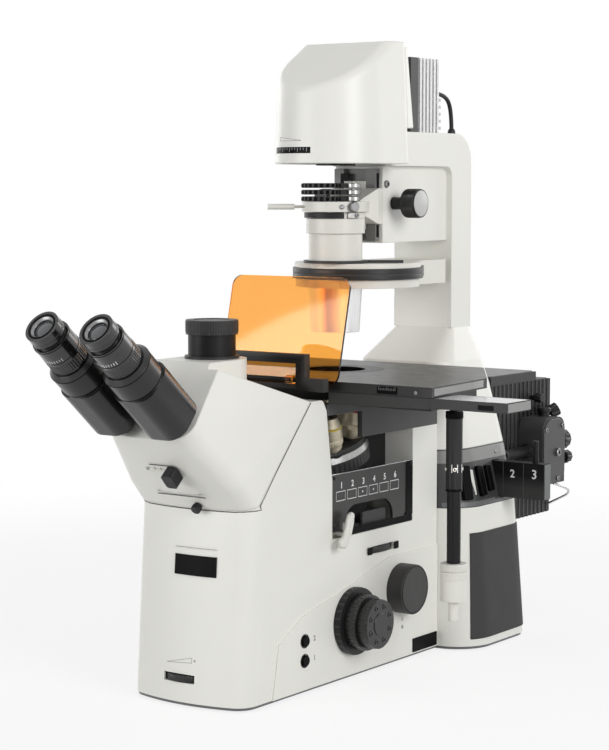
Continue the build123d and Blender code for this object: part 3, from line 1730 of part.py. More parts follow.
# Iris lever round the lower tube
with BuildPart() as iris_lever:
    with BuildSketch(Plane.XY.offset(iris_bottom)):
        Circle(iris_outer_radius)
        with Locations(Location((-lever_out.X * iris_reach / 2, -lever_out.Y * iris_reach / 2, 0), (0, 0, math.degrees(lever_angle)))):
            Rectangle(iris_reach, 2 * iris_blade_half_width)
        Circle(lower_tube_radius + seat_gap, mode=Mode.SUBTRACT)
    extrude(amount=iris_thickness)
save(iris_lever, "iris_lever")

# Condenser turret between its two plates
with BuildPart() as condenser_turret:
    rod_z(turret_centre, turret_bottom, turret_top, turret_radius)
    rod_z(turret_centre, lower_plate_bottom + seat_gap, cover_plate_top - seat_gap, turret_pin)
    with BuildSketch(Plane.XY.offset(turret_bottom)):
        with Locations(turret_centre):
            with PolarLocations(turret_y, turret_window_count, start_angle=-90):
                Circle(turret_window_radius)
    extrude(amount=turret_top - turret_bottom, mode=Mode.SUBTRACT)
save(condenser_turret, "condenser_turret")

# Condenser lens in its tapered cup
with BuildPart() as condenser_lens:
    cup_height = lower_plate_bottom - lens_cup_bottom
    cone_along(Vector(0, 0, lower_plate_bottom), Vector(0, 0, -1), cup_height, lens_cup_top_radius, lens_cup_low_radius)
    rod_z((0, 0), lens_cup_bottom, lower_plate_bottom, lens_cup_bore, Mode.SUBTRACT)
    lens_bottom = lens_cup_bottom + condenser_lens_thickness
    rod_z((0, 0), lens_bottom, lens_bottom + condenser_lens_thickness, lens_cup_bore)
save(condenser_lens, "condenser_lens")

# Filter holders, one above another on the post
holder_run = Vector(holder_x - post_x, holder_y - post_y, 0)
holder_turn = math.degrees(math.atan2(holder_run.Y, holder_run.X))
for index in range(holder_count):
    level = ring_plate_top + seat_gap + index * holder_pitch
    with BuildPart() as filter_holder:
        with BuildSketch(Plane.XY.offset(level)):
            with Locations((holder_x, holder_y)):
                Circle(holder_radius)
            with Locations(Location((post_x + holder_run.X / 2, post_y + holder_run.Y / 2, 0), (0, 0, holder_turn))):
                Rectangle(holder_run.length, 2 * holder_arm_half_width)
            with Locations((holder_x, holder_y)):
                Circle(holder_bore, mode=Mode.SUBTRACT)
            with Locations((post_x, post_y)):
                Circle(holder_lug_radius)
                Circle(post_pin_radius + shaft_gap, mode=Mode.SUBTRACT)
        extrude(amount=holder_thickness)
    save(filter_holder, f"filter_holder_{index + 1}")

# Tube lens under the body's top, and the prism that turns the light forward
with BuildPart() as tube_lens:
    lens_low = cavity_top - tube_lens_length
    rod_z((0, 0), lens_low, cavity_top, tube_lens_radius + tube_lens_ring)
    rod_z((0, 0), lens_low, cavity_top, tube_lens_radius, Mode.SUBTRACT)
    rod_z((0, 0), lens_low, lens_low + tube_lens_thickness, tube_lens_radius)
save(tube_lens, "tube_lens")

with BuildPart() as beam_prism:
    half_prism = prism_size / 2
    plate_x(
        [
            (-half_prism, body_bottom),
            (half_prism, body_bottom),
            (half_prism, prism_top),
            (-half_prism, prism_top),
        ],
        -half_prism,
        half_prism,
    )
save(beam_prism, "beam_prism")

# Lamp house behind the stand: a finned box on a short neck
with BuildPart() as lamp_house:
    block(-house_half_width, house_half_width, house_front_y, house_rear_y, house_bottom, house_top)
    block(
        -house_half_width + 2 * house_wall,
        house_half_width - 2 * house_wall,
        house_front_y + house_wall,
        house_rear_y - house_wall,
        house_bottom + house_wall,
        house_top - house_wall,
        Mode.SUBTRACT,
    )
    rod_y((0, house_axis_z), rear_back_y, house_front_y, house_neck_radius)
    rod_y((0, house_axis_z), rear_back_y, house_front_y + house_wall, house_bore_radius, Mode.SUBTRACT)
    house_pitch = (house_rear_y - house_front_y) / house_fin_count
    for index in range(house_fin_count):
        slot_front = house_front_y + (index + house_fin_share) * house_pitch
        slot_rear = house_front_y + (index + 1) * house_pitch
        if slot_rear > socket_front_y and slot_front < socket_rear_y:
            slot_levels = [(house_bottom, socket_bottom), (socket_top, house_top)]
        else:
            slot_levels = [(house_bottom, house_top)]
        for low, high in slot_levels:
            block(
                house_half_width - house_fin_depth,
                house_half_width,
                slot_front,
                slot_rear,
                low,
                high,
                Mode.SUBTRACT,
            )
        block(
            -house_half_width,
            -house_half_width + house_fin_depth,
            slot_front,
            slot_rear,
            house_bottom,
            house_top,
            Mode.SUBTRACT,
        )
save(lamp_house, "lamp_house")

with BuildPart() as lamp_house_cover:
    block(
        -house_half_width,
        house_half_width,
        house_front_y,
        house_cover_rear_y,
        house_top,
        house_top + house_cover_height,
    )
save(lamp_house_cover, "lamp_house_cover")

# Lamp socket on the side of the lamp house, its adjuster and the bent wire below
socket_outer_x = house_half_width + socket_reach
adjuster_place = (adjuster_x, adjuster_z)

with BuildSketch(Plane.YZ.offset(house_half_width)) as socket_face:
    with Locations(((socket_front_y + socket_rear_y) / 2, (socket_bottom + socket_top) / 2)):
        Rectangle(socket_rear_y - socket_front_y, socket_top - socket_bottom)
    fillet(socket_face.vertices().group_by(Axis.Y)[-1], socket_corner)

with BuildPart() as lamp_socket:
    extrude(socket_face.sketch, amount=socket_reach + socket_plate)
    rod_y(
        adjuster_place,
        socket_rear_y - adjuster_pin_length - seat_gap,
        socket_rear_y,
        adjuster_pin_radius + shaft_gap,
        Mode.SUBTRACT,
    )
save(lamp_socket, "lamp_socket")

with BuildPart() as lamp_adjuster:
    rod_y(adjuster_place, socket_rear_y - adjuster_pin_length, socket_rear_y + seat_gap, adjuster_pin_radius)
    rod_y(adjuster_place, socket_rear_y + seat_gap, socket_rear_y + seat_gap + adjuster_length, adjuster_radius)
save(lamp_adjuster, "lamp_adjuster")

save(cord(wire_route, wire_radius), "lamp_wire")
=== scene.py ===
import math
import random

import bmesh
import bpy
from mathutils import Matrix, Vector


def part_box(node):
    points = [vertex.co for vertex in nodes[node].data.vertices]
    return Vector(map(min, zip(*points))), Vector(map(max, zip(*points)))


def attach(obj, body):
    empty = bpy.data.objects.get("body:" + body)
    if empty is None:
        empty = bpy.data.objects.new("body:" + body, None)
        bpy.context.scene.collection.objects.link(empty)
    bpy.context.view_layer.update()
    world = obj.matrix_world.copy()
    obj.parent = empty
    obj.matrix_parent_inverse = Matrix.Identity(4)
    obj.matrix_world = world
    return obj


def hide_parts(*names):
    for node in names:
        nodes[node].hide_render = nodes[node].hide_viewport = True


# Dressing of an inverted microscope. Lengths are in metres, in the part's own frame:
# +X is the operator's right, +Y points to the back of the stand and +Z is up.

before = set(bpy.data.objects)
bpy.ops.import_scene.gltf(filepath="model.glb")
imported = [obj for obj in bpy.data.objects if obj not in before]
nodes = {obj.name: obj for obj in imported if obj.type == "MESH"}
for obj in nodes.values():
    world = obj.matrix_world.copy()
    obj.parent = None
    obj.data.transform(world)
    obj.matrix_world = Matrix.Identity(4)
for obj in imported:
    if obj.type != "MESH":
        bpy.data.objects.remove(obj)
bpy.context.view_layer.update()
random.seed(7)

MM = 0.001

# Camera, at the photograph's place
CAMERA_PLACE = (1.32948, -1.94076, 0.53568)
CAMERA_BEARING = 35.26
CAMERA_PITCH = 5.18
CAMERA_LENS = 100.6

camera_data = bpy.data.cameras.new("camera")
camera_data.lens = CAMERA_LENS
camera_data.clip_end = 50
camera = bpy.data.objects.new("camera", camera_data)
camera.location = CAMERA_PLACE
camera.rotation_euler = (math.radians(90 - CAMERA_PITCH), 0, math.radians(CAMERA_BEARING))
bpy.context.collection.objects.link(camera)
bpy.context.scene.camera = camera
bpy.context.scene.view_settings.view_transform = "Standard"

# Cable from the heat sink into the arm: the same route as its solid
CABLE_ROUTE = [(0.031, 0.157, 0.642), (0.031, 0.1805, 0.642), (0.031, 0.197, 0.6255), (0.031, 0.197, 0.596)]
CABLE_RADIUS = 0.0025


# Materials
def new_material(name, colour, roughness, metallic=0.0):
    """A node material with its shader's own sockets set; returns it, its tree and its shader."""
    made = bpy.data.materials.new(name)
    made.use_nodes = True
    tree = made.node_tree
    shader = tree.nodes["Principled BSDF"]
    shader.inputs["Base Color"].default_value = (*colour, 1)
    shader.inputs["Roughness"].default_value = roughness
    shader.inputs["Metallic"].default_value = metallic
    return made, tree, shader


def place_vector(tree, scale=(1, 1, 1)):
    """Object coordinates, stretched where a material needs streaks."""
    place = tree.nodes.new("ShaderNodeTexCoord")
    mapping = tree.nodes.new("ShaderNodeMapping")
    mapping.inputs["Scale"].default_value = scale
    tree.links.new(place.outputs["Object"], mapping.inputs["Vector"])
    return mapping.outputs["Vector"]


def noise(tree, vector, scale, detail=4.0):
    field = tree.nodes.new("ShaderNodeTexNoise")
    field.inputs["Scale"].default_value = scale
    field.inputs["Detail"].default_value = detail
    tree.links.new(vector, field.inputs["Vector"])
    return field.outputs["Fac"]


def ramp(tree, value, stops):
    """A colour ramp from (place, colour) stops."""
    node = tree.nodes.new("ShaderNodeValToRGB")
    elements = node.color_ramp.elements
    elements[0].position, elements[0].color = stops[0][0], (*stops[0][1], 1)
    elements[1].position, elements[1].color = stops[-1][0], (*stops[-1][1], 1)
    for place, colour in stops[1:-1]:
        element = elements.new(place)
        element.color = (*colour, 1)
    tree.links.new(value, node.inputs["Fac"])
    return node.outputs["Color"]


def spread(tree, value, low, high):
    """Maps a 0 to 1 field to a range."""
    node = tree.nodes.new("ShaderNodeMapRange")
    node.inputs["To Min"].default_value = low
    node.inputs["To Max"].default_value = high
    tree.links.new(value, node.inputs["Value"])
    return node.outputs["Result"]


def rounded_bump(tree, shader, height, strength, distance, edge_radius):
    """Bump over softened edges."""
    bump = tree.nodes.new("ShaderNodeBump")
    bump.inputs["Strength"].default_value = strength
    bump.inputs["Distance"].default_value = distance
    tree.links.new(height, bump.inputs["Height"])
    if edge_radius:
        soft = tree.nodes.new("ShaderNodeBevel")
        soft.samples = 6
        soft.inputs["Radius"].default_value = edge_radius
        tree.links.new(soft.outputs["Normal"], bump.inputs["Normal"])
    tree.links.new(bump.outputs["Normal"], shader.inputs["Normal"])


def shade(colour, factor):
    return tuple(min(1.0, channel * factor) for channel in colour)


def coated(
    name, colour, roughness, grain, depth, edge_radius=0.0012, coat=0.0, vary=0.04, wear=None, shine=0.5
):
    """Paint or moulded plastic: fine grain, a faint mottle, and edges rubbed a little."""
    made, tree, shader = new_material(name, colour, roughness)
    shader.inputs["Specular IOR Level"].default_value = shine
    vector = place_vector(tree)
    mottle = noise(tree, vector, 14.0, 5.0)
    tint = ramp(tree, mottle, [(0.3, shade(colour, 1 - vary)), (0.7, shade(colour, 1 + vary))])
    if wear:
        geometry = tree.nodes.new("ShaderNodeNewGeometry")
        edge = ramp(tree, geometry.outputs["Pointiness"], [(0.52, (0, 0, 0)), (0.6, (1, 1, 1))])
        mix = tree.nodes.new("ShaderNodeMix")
        mix.data_type = "RGBA"
        mix.inputs["B"].default_value = (*wear, 1)
        tree.links.new(tint, mix.inputs["A"])
        tree.links.new(edge, mix.inputs["Factor"])
        tint = mix.outputs["Result"]
    tree.links.new(tint, shader.inputs["Base Color"])
    smears = spread(tree, noise(tree, vector, 55.0), roughness - 0.07, roughness + 0.07)
    tree.links.new(smears, shader.inputs["Roughness"])
    if coat:
        shader.inputs["Coat Weight"].default_value = coat
        shader.inputs["Coat Roughness"].default_value = 0.18
    rounded_bump(tree, shader, noise(tree, vector, grain, 2.0), 0.35, depth, edge_radius)
    return made


def brushed(name, colour, roughness, streak, depth=0.00003, edge_radius=0.0006):
    """Bare metal with fine lines along one direction."""
    made, tree, shader = new_material(name, colour, roughness, 1.0)
    vector = place_vector(tree, streak)
    lines = noise(tree, vector, 400.0, 3.0)
    tint = ramp(tree, lines, [(0.3, shade(colour, 0.88)), (0.7, shade(colour, 1.06))])
    tree.links.new(tint, shader.inputs["Base Color"])
    tree.links.new(spread(tree, lines, roughness - 0.08, roughness + 0.1), shader.inputs["Roughness"])
    rounded_bump(tree, shader, lines, 0.3, depth, edge_radius)
    return made


def clear_sheet(name, colour, roughness):
    """Glass or clear plastic with a faint mottle."""
    made, tree, shader = new_material(name, colour, roughness)
    shader.inputs["Transmission Weight"].default_value = 1.0
    shader.inputs["IOR"].default_value = 1.49
    shader.inputs["Specular IOR Level"].default_value = 0.2
    shader.inputs["Alpha"].default_value = 1.0
    vector = place_vector(tree)
    tint = ramp(tree, noise(tree, vector, 9.0), [(0.3, shade(colour, 0.97)), (0.7, shade(colour, 1.03))])
    tree.links.new(tint, shader.inputs["Base Color"])
    rounded_bump(tree, shader, noise(tree, vector, 30.0), 0.05, 0.00005, 0)
    return made


WHITE = (0.845, 0.84, 0.79)
WHITE_SHADE = (0.78, 0.77, 0.715)
white_paint = coated("white_paint", WHITE, 0.42, 900.0, 0.00006, 0.002, coat=0.1, vary=0.012)
flush_paint = coated("flush_paint", WHITE, 0.42, 900.0, 0.00006, 0, coat=0.1, vary=0.012)
head_paint = coated("head_paint", WHITE, 0.40, 900.0, 0.00006, 0.003, coat=0.1, vary=0.012)
white_satin = coated("white_satin", WHITE_SHADE, 0.36, 700.0, 0.00005, 0.0008, vary=0.02)
dark_paint = coated(
    "dark_paint", (0.03, 0.03, 0.031), 0.5, 1200.0, 0.00012, 0.0008, wear=(0.08, 0.08, 0.08), shine=0.3
)
black_paint = coated(
    "black_paint", (0.006, 0.006, 0.0065), 0.42, 1400.0, 0.0001, 0.0007, wear=(0.05, 0.05, 0.05), shine=0.2
)
black_plastic = coated("black_plastic", (0.009, 0.009, 0.010), 0.42, 1600.0, 0.00012, 0.0006, shine=0.3)
tube_plastic = coated(
    "tube_plastic", (0.011, 0.011, 0.012), 0.3, 900.0, 0.00006, 0.0012, coat=0.25, shine=0.3
)
black_gloss = coated("black_gloss", (0.004, 0.004, 0.0045), 0.3, 500.0, 0.00002, 0.0006, shine=0.05)
stage_black = coated(
    "stage_black", (0.012, 0.012, 0.0125), 0.36, 1500.0, 0.00002, 0.0006, coat=0.08, shine=0.35
)
grey_paint = coated("grey_paint", (0.13, 0.132, 0.135), 0.36, 900.0, 0.00006, 0.0008)
band_paint = coated("band_paint", (0.042, 0.042, 0.043), 0.36, 900.0, 0.00006, 0.0008)
grey_label = coated("grey_label", (0.02, 0.019, 0.018), 0.38, 600.0, 0.00003, 0.0006)
knob_rubber = coated("knob_rubber", (0.042, 0.041, 0.040), 0.5, 2000.0, 0.00015, 0.001, shine=0.35)
grip_rubber = coated("grip_rubber", (0.034, 0.034, 0.034), 0.6, 2200.0, 0.0003, 0.0012, shine=0.35)
foot_rubber = coated("foot_rubber", (0.03, 0.03, 0.03), 0.8, 800.0, 0.0002, 0.001)
cord_rubber = coated("cord_rubber", (0.012, 0.012, 0.012), 0.5, 900.0, 0.00008, 0, shine=0.3)
aluminium = brushed("aluminium", (0.80, 0.80, 0.80), 0.34, (1, 1, 0.04))
aluminium_fins = brushed("aluminium_fins", (0.66, 0.66, 0.66), 0.5, (0.05, 1, 1))
steel = brushed("steel", (0.62, 0.62, 0.63), 0.22, (1, 1, 0.05))
chrome = brushed("chrome", (0.82, 0.78, 0.70), 0.14, (1, 1, 0.1), 0.00001)
objective_metal = brushed("objective_metal", (0.62, 0.56, 0.43), 0.5, (1, 1, 1), 0.0000002)
dull_metal = brushed("dull_metal", (0.24, 0.24, 0.24), 0.34, (1, 1, 1), 0.000001)
lug_metal = brushed("lug_metal", (0.42, 0.42, 0.41), 0.3, (1, 1, 1), 0.000001)
ring_silver = coated("ring_silver", (0.24, 0.24, 0.235), 0.25, 900.0, 0.00004, 0.0006, coat=0.2)
rail_grey = coated("rail_grey", (0.17, 0.17, 0.165), 0.4, 900.0, 0.00004, 0.0006)
lid_paint = coated("lid_paint", (0.075, 0.075, 0.075), 0.36, 900.0, 0.00006, 0.0008)
rib_paint = coated("rib_paint", (0.012, 0.012, 0.012), 0.2, 900.0, 0.00003, 0.0006, shine=0.6)
barrel_gloss = coated("barrel_gloss", (0.008, 0.008, 0.008), 0.16, 900.0, 0.00002, 0.0008, coat=0.4)
knob_gloss = coated("knob_gloss", (0.011, 0.011, 0.011), 0.27, 1200.0, 0.00005, 0.0006, shine=0.5)
face_paint = coated("face_paint", (0.56, 0.56, 0.55), 0.4, 700.0, 0.00004, 0.0006)
dark_ink = coated("dark_ink", (0.09, 0.09, 0.09), 0.5, 400.0, 0.00001, 0)
lens_glass = clear_sheet("lens_glass", (0.75, 0.82, 0.9), 0.02)
lens_dark = coated("lens_dark", (0.02, 0.024, 0.03), 0.06, 60.0, 0.000005, 0, coat=1.0, shine=0.7)
orange_acrylic = clear_sheet("orange_acrylic", (1.0, 0.42, 0.07), 0.04)
white_ink = coated("white_ink", (0.92, 0.92, 0.92), 0.5, 400.0, 0.00001, 0)
grey_ink = coated("grey_ink", (0.30, 0.30, 0.31), 0.5, 400.0, 0.00001, 0)

node_materials = {
    "base_plate": grey_paint,
    "rubber_feet": foot_rubber,
    "lower_body": flush_paint,
    "front_column": flush_paint,
    "rear_column": flush_paint,
    "head_cover": head_paint,
    "arm": white_paint,
    "epi_collar": band_paint,
    "lamp_head_cover": head_paint,
    "lamp_head_floor": dark_paint,
    "lamp_box": dark_paint,
    "lamp_heat_sink": aluminium_fins,
    "field_lamp": steel,
    "camera_port": black_paint,
    "stage_support": dark_paint,
    "label_panel": grey_label,
    "condenser_rail": rail_grey,
    "tube_lens": lens_glass,
    "beam_prism": lens_glass,
    "lamp_house": black_paint,
    "lamp_house_cover": black_paint,
    "lamp_socket": black_paint,
    "lamp_wire": steel,
    "left_tube": tube_plastic,
    "right_tube": tube_plastic,
    "left_eyepiece": barrel_gloss,
    "right_eyepiece": barrel_gloss,
    "light_path_selector": black_plastic,
    "brightness_wheel": black_plastic,
    "upper_button": black_gloss,
    "lower_button": black_gloss,
    "focus_carriage": dark_paint,
    "coarse_knobs": knob_gloss,
    "fine_knobs": knob_gloss,
    "tension_ring": black_plastic,
    "port_knob": knob_rubber,
    "nosepiece": dark_paint,
    "objectives": objective_metal,
    "stage_y_carriage": black_paint,
    "stage_plate": stage_black,
    "stage_insert": black_gloss,
    "stage_y_knob": white_satin,
    "stage_x_knob": white_satin,
    "shield": orange_acrylic,
    "shield_bracket": black_paint,
    "condenser_carriage": white_satin,
    "condenser_knobs": black_plastic,
    "condenser_turret": black_paint,
    "condenser_lens": aluminium,
    "diaphragm_lever": white_satin,
    "iris_lever": black_paint,
    "filter_holder_1": black_paint,
    "filter_holder_2": black_paint,
    "filter_holder_3": black_paint,
    "cube_turret": black_paint,
    "shutter_lever": white_satin,
    "magnification_dial": black_plastic,
    "epi_slider": black_paint,
    "lamp_adjuster": black_plastic,
}
for name, made in node_materials.items():
    for slot in nodes[name].material_slots:
        slot.material = made


# Forms: meshes gathered from turned and cut parts, in millimetres
SHARP = math.radians(38)


def place_at(origin, across, out):
    """A place whose local x runs along across and whose local z points out of the surface."""
    out = Vector(out).normalized()
    across = Vector(across)
    across = (across - out * across.dot(out)).normalized()
    turn = Matrix((across, out.cross(across), out)).transposed()
    return Matrix.Translation(Vector(origin) * MM) @ turn.to_4x4() @ Matrix.Scale(MM, 4)


ORIGIN = Matrix.Scale(MM, 4)


def rounded(width, height, radius, steps=5):
    """The outline of a rectangle with round corners."""
    outline = []
    for corner, (right, up) in enumerate(((1, 1), (-1, 1), (-1, -1), (1, -1))):
        for step in range(steps + 1):
            angle = math.radians(90 * (corner + step / steps))
            x = right * (width / 2 - radius) + radius * math.cos(angle)
            y = up * (height / 2 - radius) + radius * math.sin(angle)
            outline.append((x, y))
    return outline


class Form:
    """Collects the faces of one piece."""

    def __init__(self):
        self.points = []
        self.faces = []

    def add(self, place, points, faces):
        start = len(self.points)
        self.points += [place @ Vector(point) for point in points]
        self.faces += [[start + index for index in face] for face in faces]

    def turned(self, place, profile, sides=48, ribs=0, depth=0.0):
        """Turns (height, radius) pairs about local z; ribs are cut where a pair has a third value.

        A profile that ends where it starts makes an open ring.
        """
        hollow = profile[0] == profile[-1]
        rings = profile[:-1] if hollow else profile
        points = []
        for height, radius, *grip in rings:
            for index in range(sides):
                angle = math.tau * index / sides
                cut = depth * (0.5 - 0.5 * math.cos(ribs * angle)) if grip else 0
                points.append(((radius - cut) * math.cos(angle), (radius - cut) * math.sin(angle), height))
        faces = []
        if not hollow:
            top = (len(rings) - 1) * sides
            faces = [tuple(reversed(range(sides))), tuple(range(top, top + sides))]
        for ring in range(len(profile) - 1):
            low = ring * sides
            high = (ring + 1) % len(rings) * sides
            for index in range(sides):
                after = (index + 1) % sides
                faces.append((low + index, low + after, high + after, high + index))
        self.add(place, points, faces)

    def plate(self, place, outline, low, high):
        """A flat plate of any outline between two heights."""
        count = len(outline)
        points = [(x, y, low) for x, y in outline] + [(x, y, high) for x, y in outline]
        faces = [tuple(reversed(range(count))), tuple(range(count, 2 * count))]
        faces += [(i, (i + 1) % count, (i + 1) % count + count, i + count) for i in range(count)]
        self.add(place, points, faces)

    def laid(self, node, rows, proud, sunk=0.3):
        """A sheet laid on the surface of the named nodes, from rows of rays that meet it."""
        outer = []
        inner = []
        for row in rows:
            for start, aim in row:
                for name in node.split():
                    hit, spot, normal, _ = nodes[name].ray_cast(Vector(start) * MM, Vector(aim).normalized())
                    if hit:
                        break
                if not hit:
                    raise RuntimeError(f"a ray misses {node} from {start}")
                outer.append((spot + normal * proud * MM) / MM)
                inner.append((spot - normal * sunk * MM) / MM)
        width = len(rows[0])
        total = len(outer)
        faces = []
        for r in range(len(rows) - 1):
            for c in range(width - 1):
                a = r * width + c
                quad = (a, a + 1, a + width + 1, a + width)
                faces.append(quad)
                faces.append(tuple(total + index for index in reversed(quad)))
        rim = list(range(width))
        rim += [(r + 1) * width - 1 for r in range(1, len(rows))]
        rim += [(len(rows) - 1) * width + c for c in reversed(range(width - 1))]
        rim += [r * width for r in reversed(range(1, len(rows) - 1))]
        for index, near in enumerate(rim):
            far = rim[(index + 1) % len(rim)]
            faces.append((far, near, total + near, total + far))
        self.add(ORIGIN, outer + inner, faces)

    def finish(self, name, made, body, slot, soft=0.0):
        """Makes the piece, turns its normals outward and lets it ride on its body."""
        mesh = bpy.data.meshes.new(name)
        mesh.from_pydata(self.points, [], self.faces)
        work = bmesh.new()
        work.from_mesh(mesh)
        bmesh.ops.recalc_face_normals(work, faces=work.faces)
        work.to_mesh(mesh)
        work.free()
        mesh.materials.append(made)
        mesh.shade_smooth()
        mesh.set_sharp_from_angle(angle=SHARP)
        piece = bpy.data.objects.new(name, mesh)
        bpy.context.collection.objects.link(piece)
        if soft:
            edge = piece.modifiers.new("edge", "BEVEL")
            edge.width = soft * MM
            edge.segments = 2
            edge.limit_method = "ANGLE"
            edge.angle_limit = SHARP
        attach(piece, body)


def lettering(name, text, size, place, made, body):
    """Plain numbers printed on a surface."""
    curve = bpy.data.curves.new(name, "FONT")
    curve.body = text
    curve.size = size
    curve.extrude = 0.08
    curve.offset = 0.22
    curve.resolution_u = 3
    curve.align_x = "CENTER"
    curve.align_y = "CENTER"
    curve.materials.append(made)
    piece = bpy.data.objects.new(name, curve)
    piece.matrix_world = place
    bpy.context.collection.objects.link(piece)
    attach(piece, body)


RIGHT = (1, 0, 0)
LEFT = (-1, 0, 0)
BACK = (0, 1, 0)
FRONT = (0, -1, 0)
UP = (0, 0, 1)


def facing(x, y, z):
    """A place on a right-hand face: local x to the back, local y up."""
    return place_at((x, y, z), BACK, RIGHT)


def standing(x, y, z):
    """A place on a level face: local x to the right, local z up."""
    return place_at((x, y, z), RIGHT, UP)


def round_line(name, kind, spots, radius, rounding, made):
    """A line of round section through spots in metres; returns the piece and its spline."""
    curve = bpy.data.curves.new(name, "CURVE")
    curve.dimensions = "3D"
    curve.bevel_depth = radius
    curve.bevel_resolution = rounding
    line = curve.splines.new(kind)
    line.points.add(len(spots) - 1)
    for point, spot in zip(line.points, spots):
        point.co = (*spot, 1)
    curve.materials.append(made)
    piece = bpy.data.objects.new(name, curve)
    bpy.context.collection.objects.link(piece)
    return piece, line


bpy.context.view_layer.update()

# Cable
cable, cable_line = round_line("lamp_cable_run", "NURBS", CABLE_ROUTE, CABLE_RADIUS, 4, cord_rubber)
cable.data.use_fill_caps = True
cable_line.order_u = 3
cable_line.use_endpoint_u = True
cable_line.resolution_u = 16
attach(cable, "stand")
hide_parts("lamp_cable")
bushings = Form()
bushings.turned(place_at((31, 157, 642), RIGHT, BACK), [(-0.5, 4.6), (4, 4.4), (6, 3.4), (6.5, 2.6)])
bushings.turned(standing(31, 197, 596), [(-0.5, 4.8), (3.5, 4.4), (5.5, 3.4), (6, 2.6)])
bushings.finish("cable_bushings", black_plastic, "stand", "black_plastic", 0.3)

# Plain black plates on the front and on the side
FRONT_START = -400
LINE_STEPS = 8
SIDE_FACE = 76.5
PANEL_FACE = 75


def front_rays(left, right, bottom, top, columns, rows):
    """Rows of rays that meet the front from before it."""
    across = [left + (right - left) * c / columns for c in range(columns + 1)]
    heights = [bottom + (top - bottom) * r / max(rows, 1) for r in range(rows + 1)]
    return [[((x, FRONT_START, z), BACK) for x in across] for z in heights]


def front_line(start, end, rise=0.0):
    """A row of rays along a line on the front, from one (x, z) to another."""
    return [
        (
            (
                start[0] + (end[0] - start[0]) * c / LINE_STEPS + rise * (start[0] == end[0]),
                FRONT_START,
                start[1] + (end[1] - start[1]) * c / LINE_STEPS + rise * (start[0] != end[0]),
            ),
            BACK,
        )
        for c in range(LINE_STEPS + 1)
    ]


plate = Form()
plate_rows = []
for z in (136.5, 147, 157.4, 158.6, 165):
    plate_rows += front_rays(-13, 38, z, z, 12, 0)
plate.laid("lower_body front_column", plate_rows, 1.2)
plate.finish("front_plate", black_gloss, "stand", "black_plastic")
plate = Form()
plate.plate(facing(SIDE_FACE, 69.5, 14.5), rounded(52, 16, 1), -0.2, 0.9)
plate.finish("side_plate", black_gloss, "stand", "black_plastic", 0.3)

# Small marks on the white faces
marks = Form()
for y in (21.2, 23.4):
    marks.plate(facing(SIDE_FACE, y, 49), rounded(0.8, 5, 0.3), -0.1, 0.12)
marks.turned(facing(SIDE_FACE, 22.3, 40), [(-0.1, 2.2), (0.12, 2.2)], 24)
for start, end in (((-20, 44), (13, 46.4)), ((-20, 44), (13, 51.6)), ((12.6, 46.2), (12.6, 51.8))):
    marks.laid("lower_body", [front_line(start, end, rise) for rise in (0, 0.5)], 0.12)
marks.laid("lower_body", front_rays(15.5, 17.5, 48, 50, 1, 1), 0.12)
marks.finish("body_marks", grey_ink, "stand", "black_metal")
for z, figure in ((57.7, "2"), (36.6, "1")):
    lettering(f"button_mark_{figure}", figure, 8, facing(76.55, -150, z), grey_ink, "stand")

# Button rims
rims = Form()
rim_profile = [(-0.3, 7.4), (0.9, 7.4), (0.9, 6.6), (-0.3, 6.6), (-0.3, 7.4)]
for z in (36.6, 57.7):
    rims.turned(facing(SIDE_FACE, -168.3, z), rim_profile, 40)
rims.finish("button_rims", black_plastic, "stand", "black_plastic")

# Print on the label panel
print_lines = Form()
for index in range(6):
    middle = -99.0 + 21.2 * index
    place = facing(75.02, middle + 1.5, 214.5)
    lettering(f"panel_mark_{index + 1}", str(index + 1), 9.5, place, white_ink, "stand")
    for z in (208.2, 198.4):
        print_lines.plate(facing(PANEL_FACE, middle, z), rounded(17.5, 0.7, 0.2, 1), -0.1, 0.12)
    for edge in (-8.6, 8.6):
        print_lines.plate(facing(PANEL_FACE, middle + edge, 203.3), rounded(0.35, 9.4, 0.1, 1), -0.1, 0.12)
for middle in (-56.6, -35.4):
    print_lines.turned(facing(PANEL_FACE, middle, 203.3), [(-0.1, 1.1), (0.12, 1.1)], 16)
print_lines.finish("panel_print", white_ink, "stand", "grey_band")
studs = Form()
for y, z in ((-111.5, 223.5), (41.5, 223.5), (41.5, 170), (-111.5, 170)):
    studs.turned(facing(PANEL_FACE, y, z), [(-0.3, 2.2), (0.5, 2.2), (0.8, 1.8), (0.8, 1.1), (0.1, 1.0)], 24)
studs.finish("panel_screws", black_plastic, "stand", "black_metal")
# Painted shade: black sheets over the gaps beside and under the label panel and on the side face stand in for
# the shadowed depth of these gaps and recesses
gap_shade = Form()
gap_shade.plate(facing(PANEL_FACE, 38, 196.5), rounded(13.6, 60.5, 0.4, 1), -0.2, 0.3)
gap_shade.plate(facing(74.2, -26, 162.3), rounded(141, 7.6, 0.4, 1), -0.2, 0.3)
gap_shade.plate(facing(SIDE_FACE, -43.5, 135.4), rounded(9, 8.2, 0.4, 1), -0.2, 0.12)
gap_shade.plate(facing(SIDE_FACE, 9.5, 135.4), rounded(9, 8.2, 0.4, 1), -0.2, 0.12)
gap_shade.finish("painted_gap_shade", black_gloss, "stand", "black_metal")
# Painted highlight: a bright steel strip along the label panel's top edge stands in for the light caught by
# the panel's bevel
edge = Form()
edge.plate(place_at((73.6, -35, 227), BACK, UP), rounded(158, 2.6, 0.3, 1), -0.1, 0.5)
edge.finish("panel_edge_highlight", steel, "stand", "aluminium")

# Sliders seen below the panel arch
sliders = Form()
sliders.plate(facing(67, -28, 169), rounded(46, 21, 2), 0.5, 4.4)
sliders.finish("cube_front", dark_paint, "stand", "black_metal", 0.8)

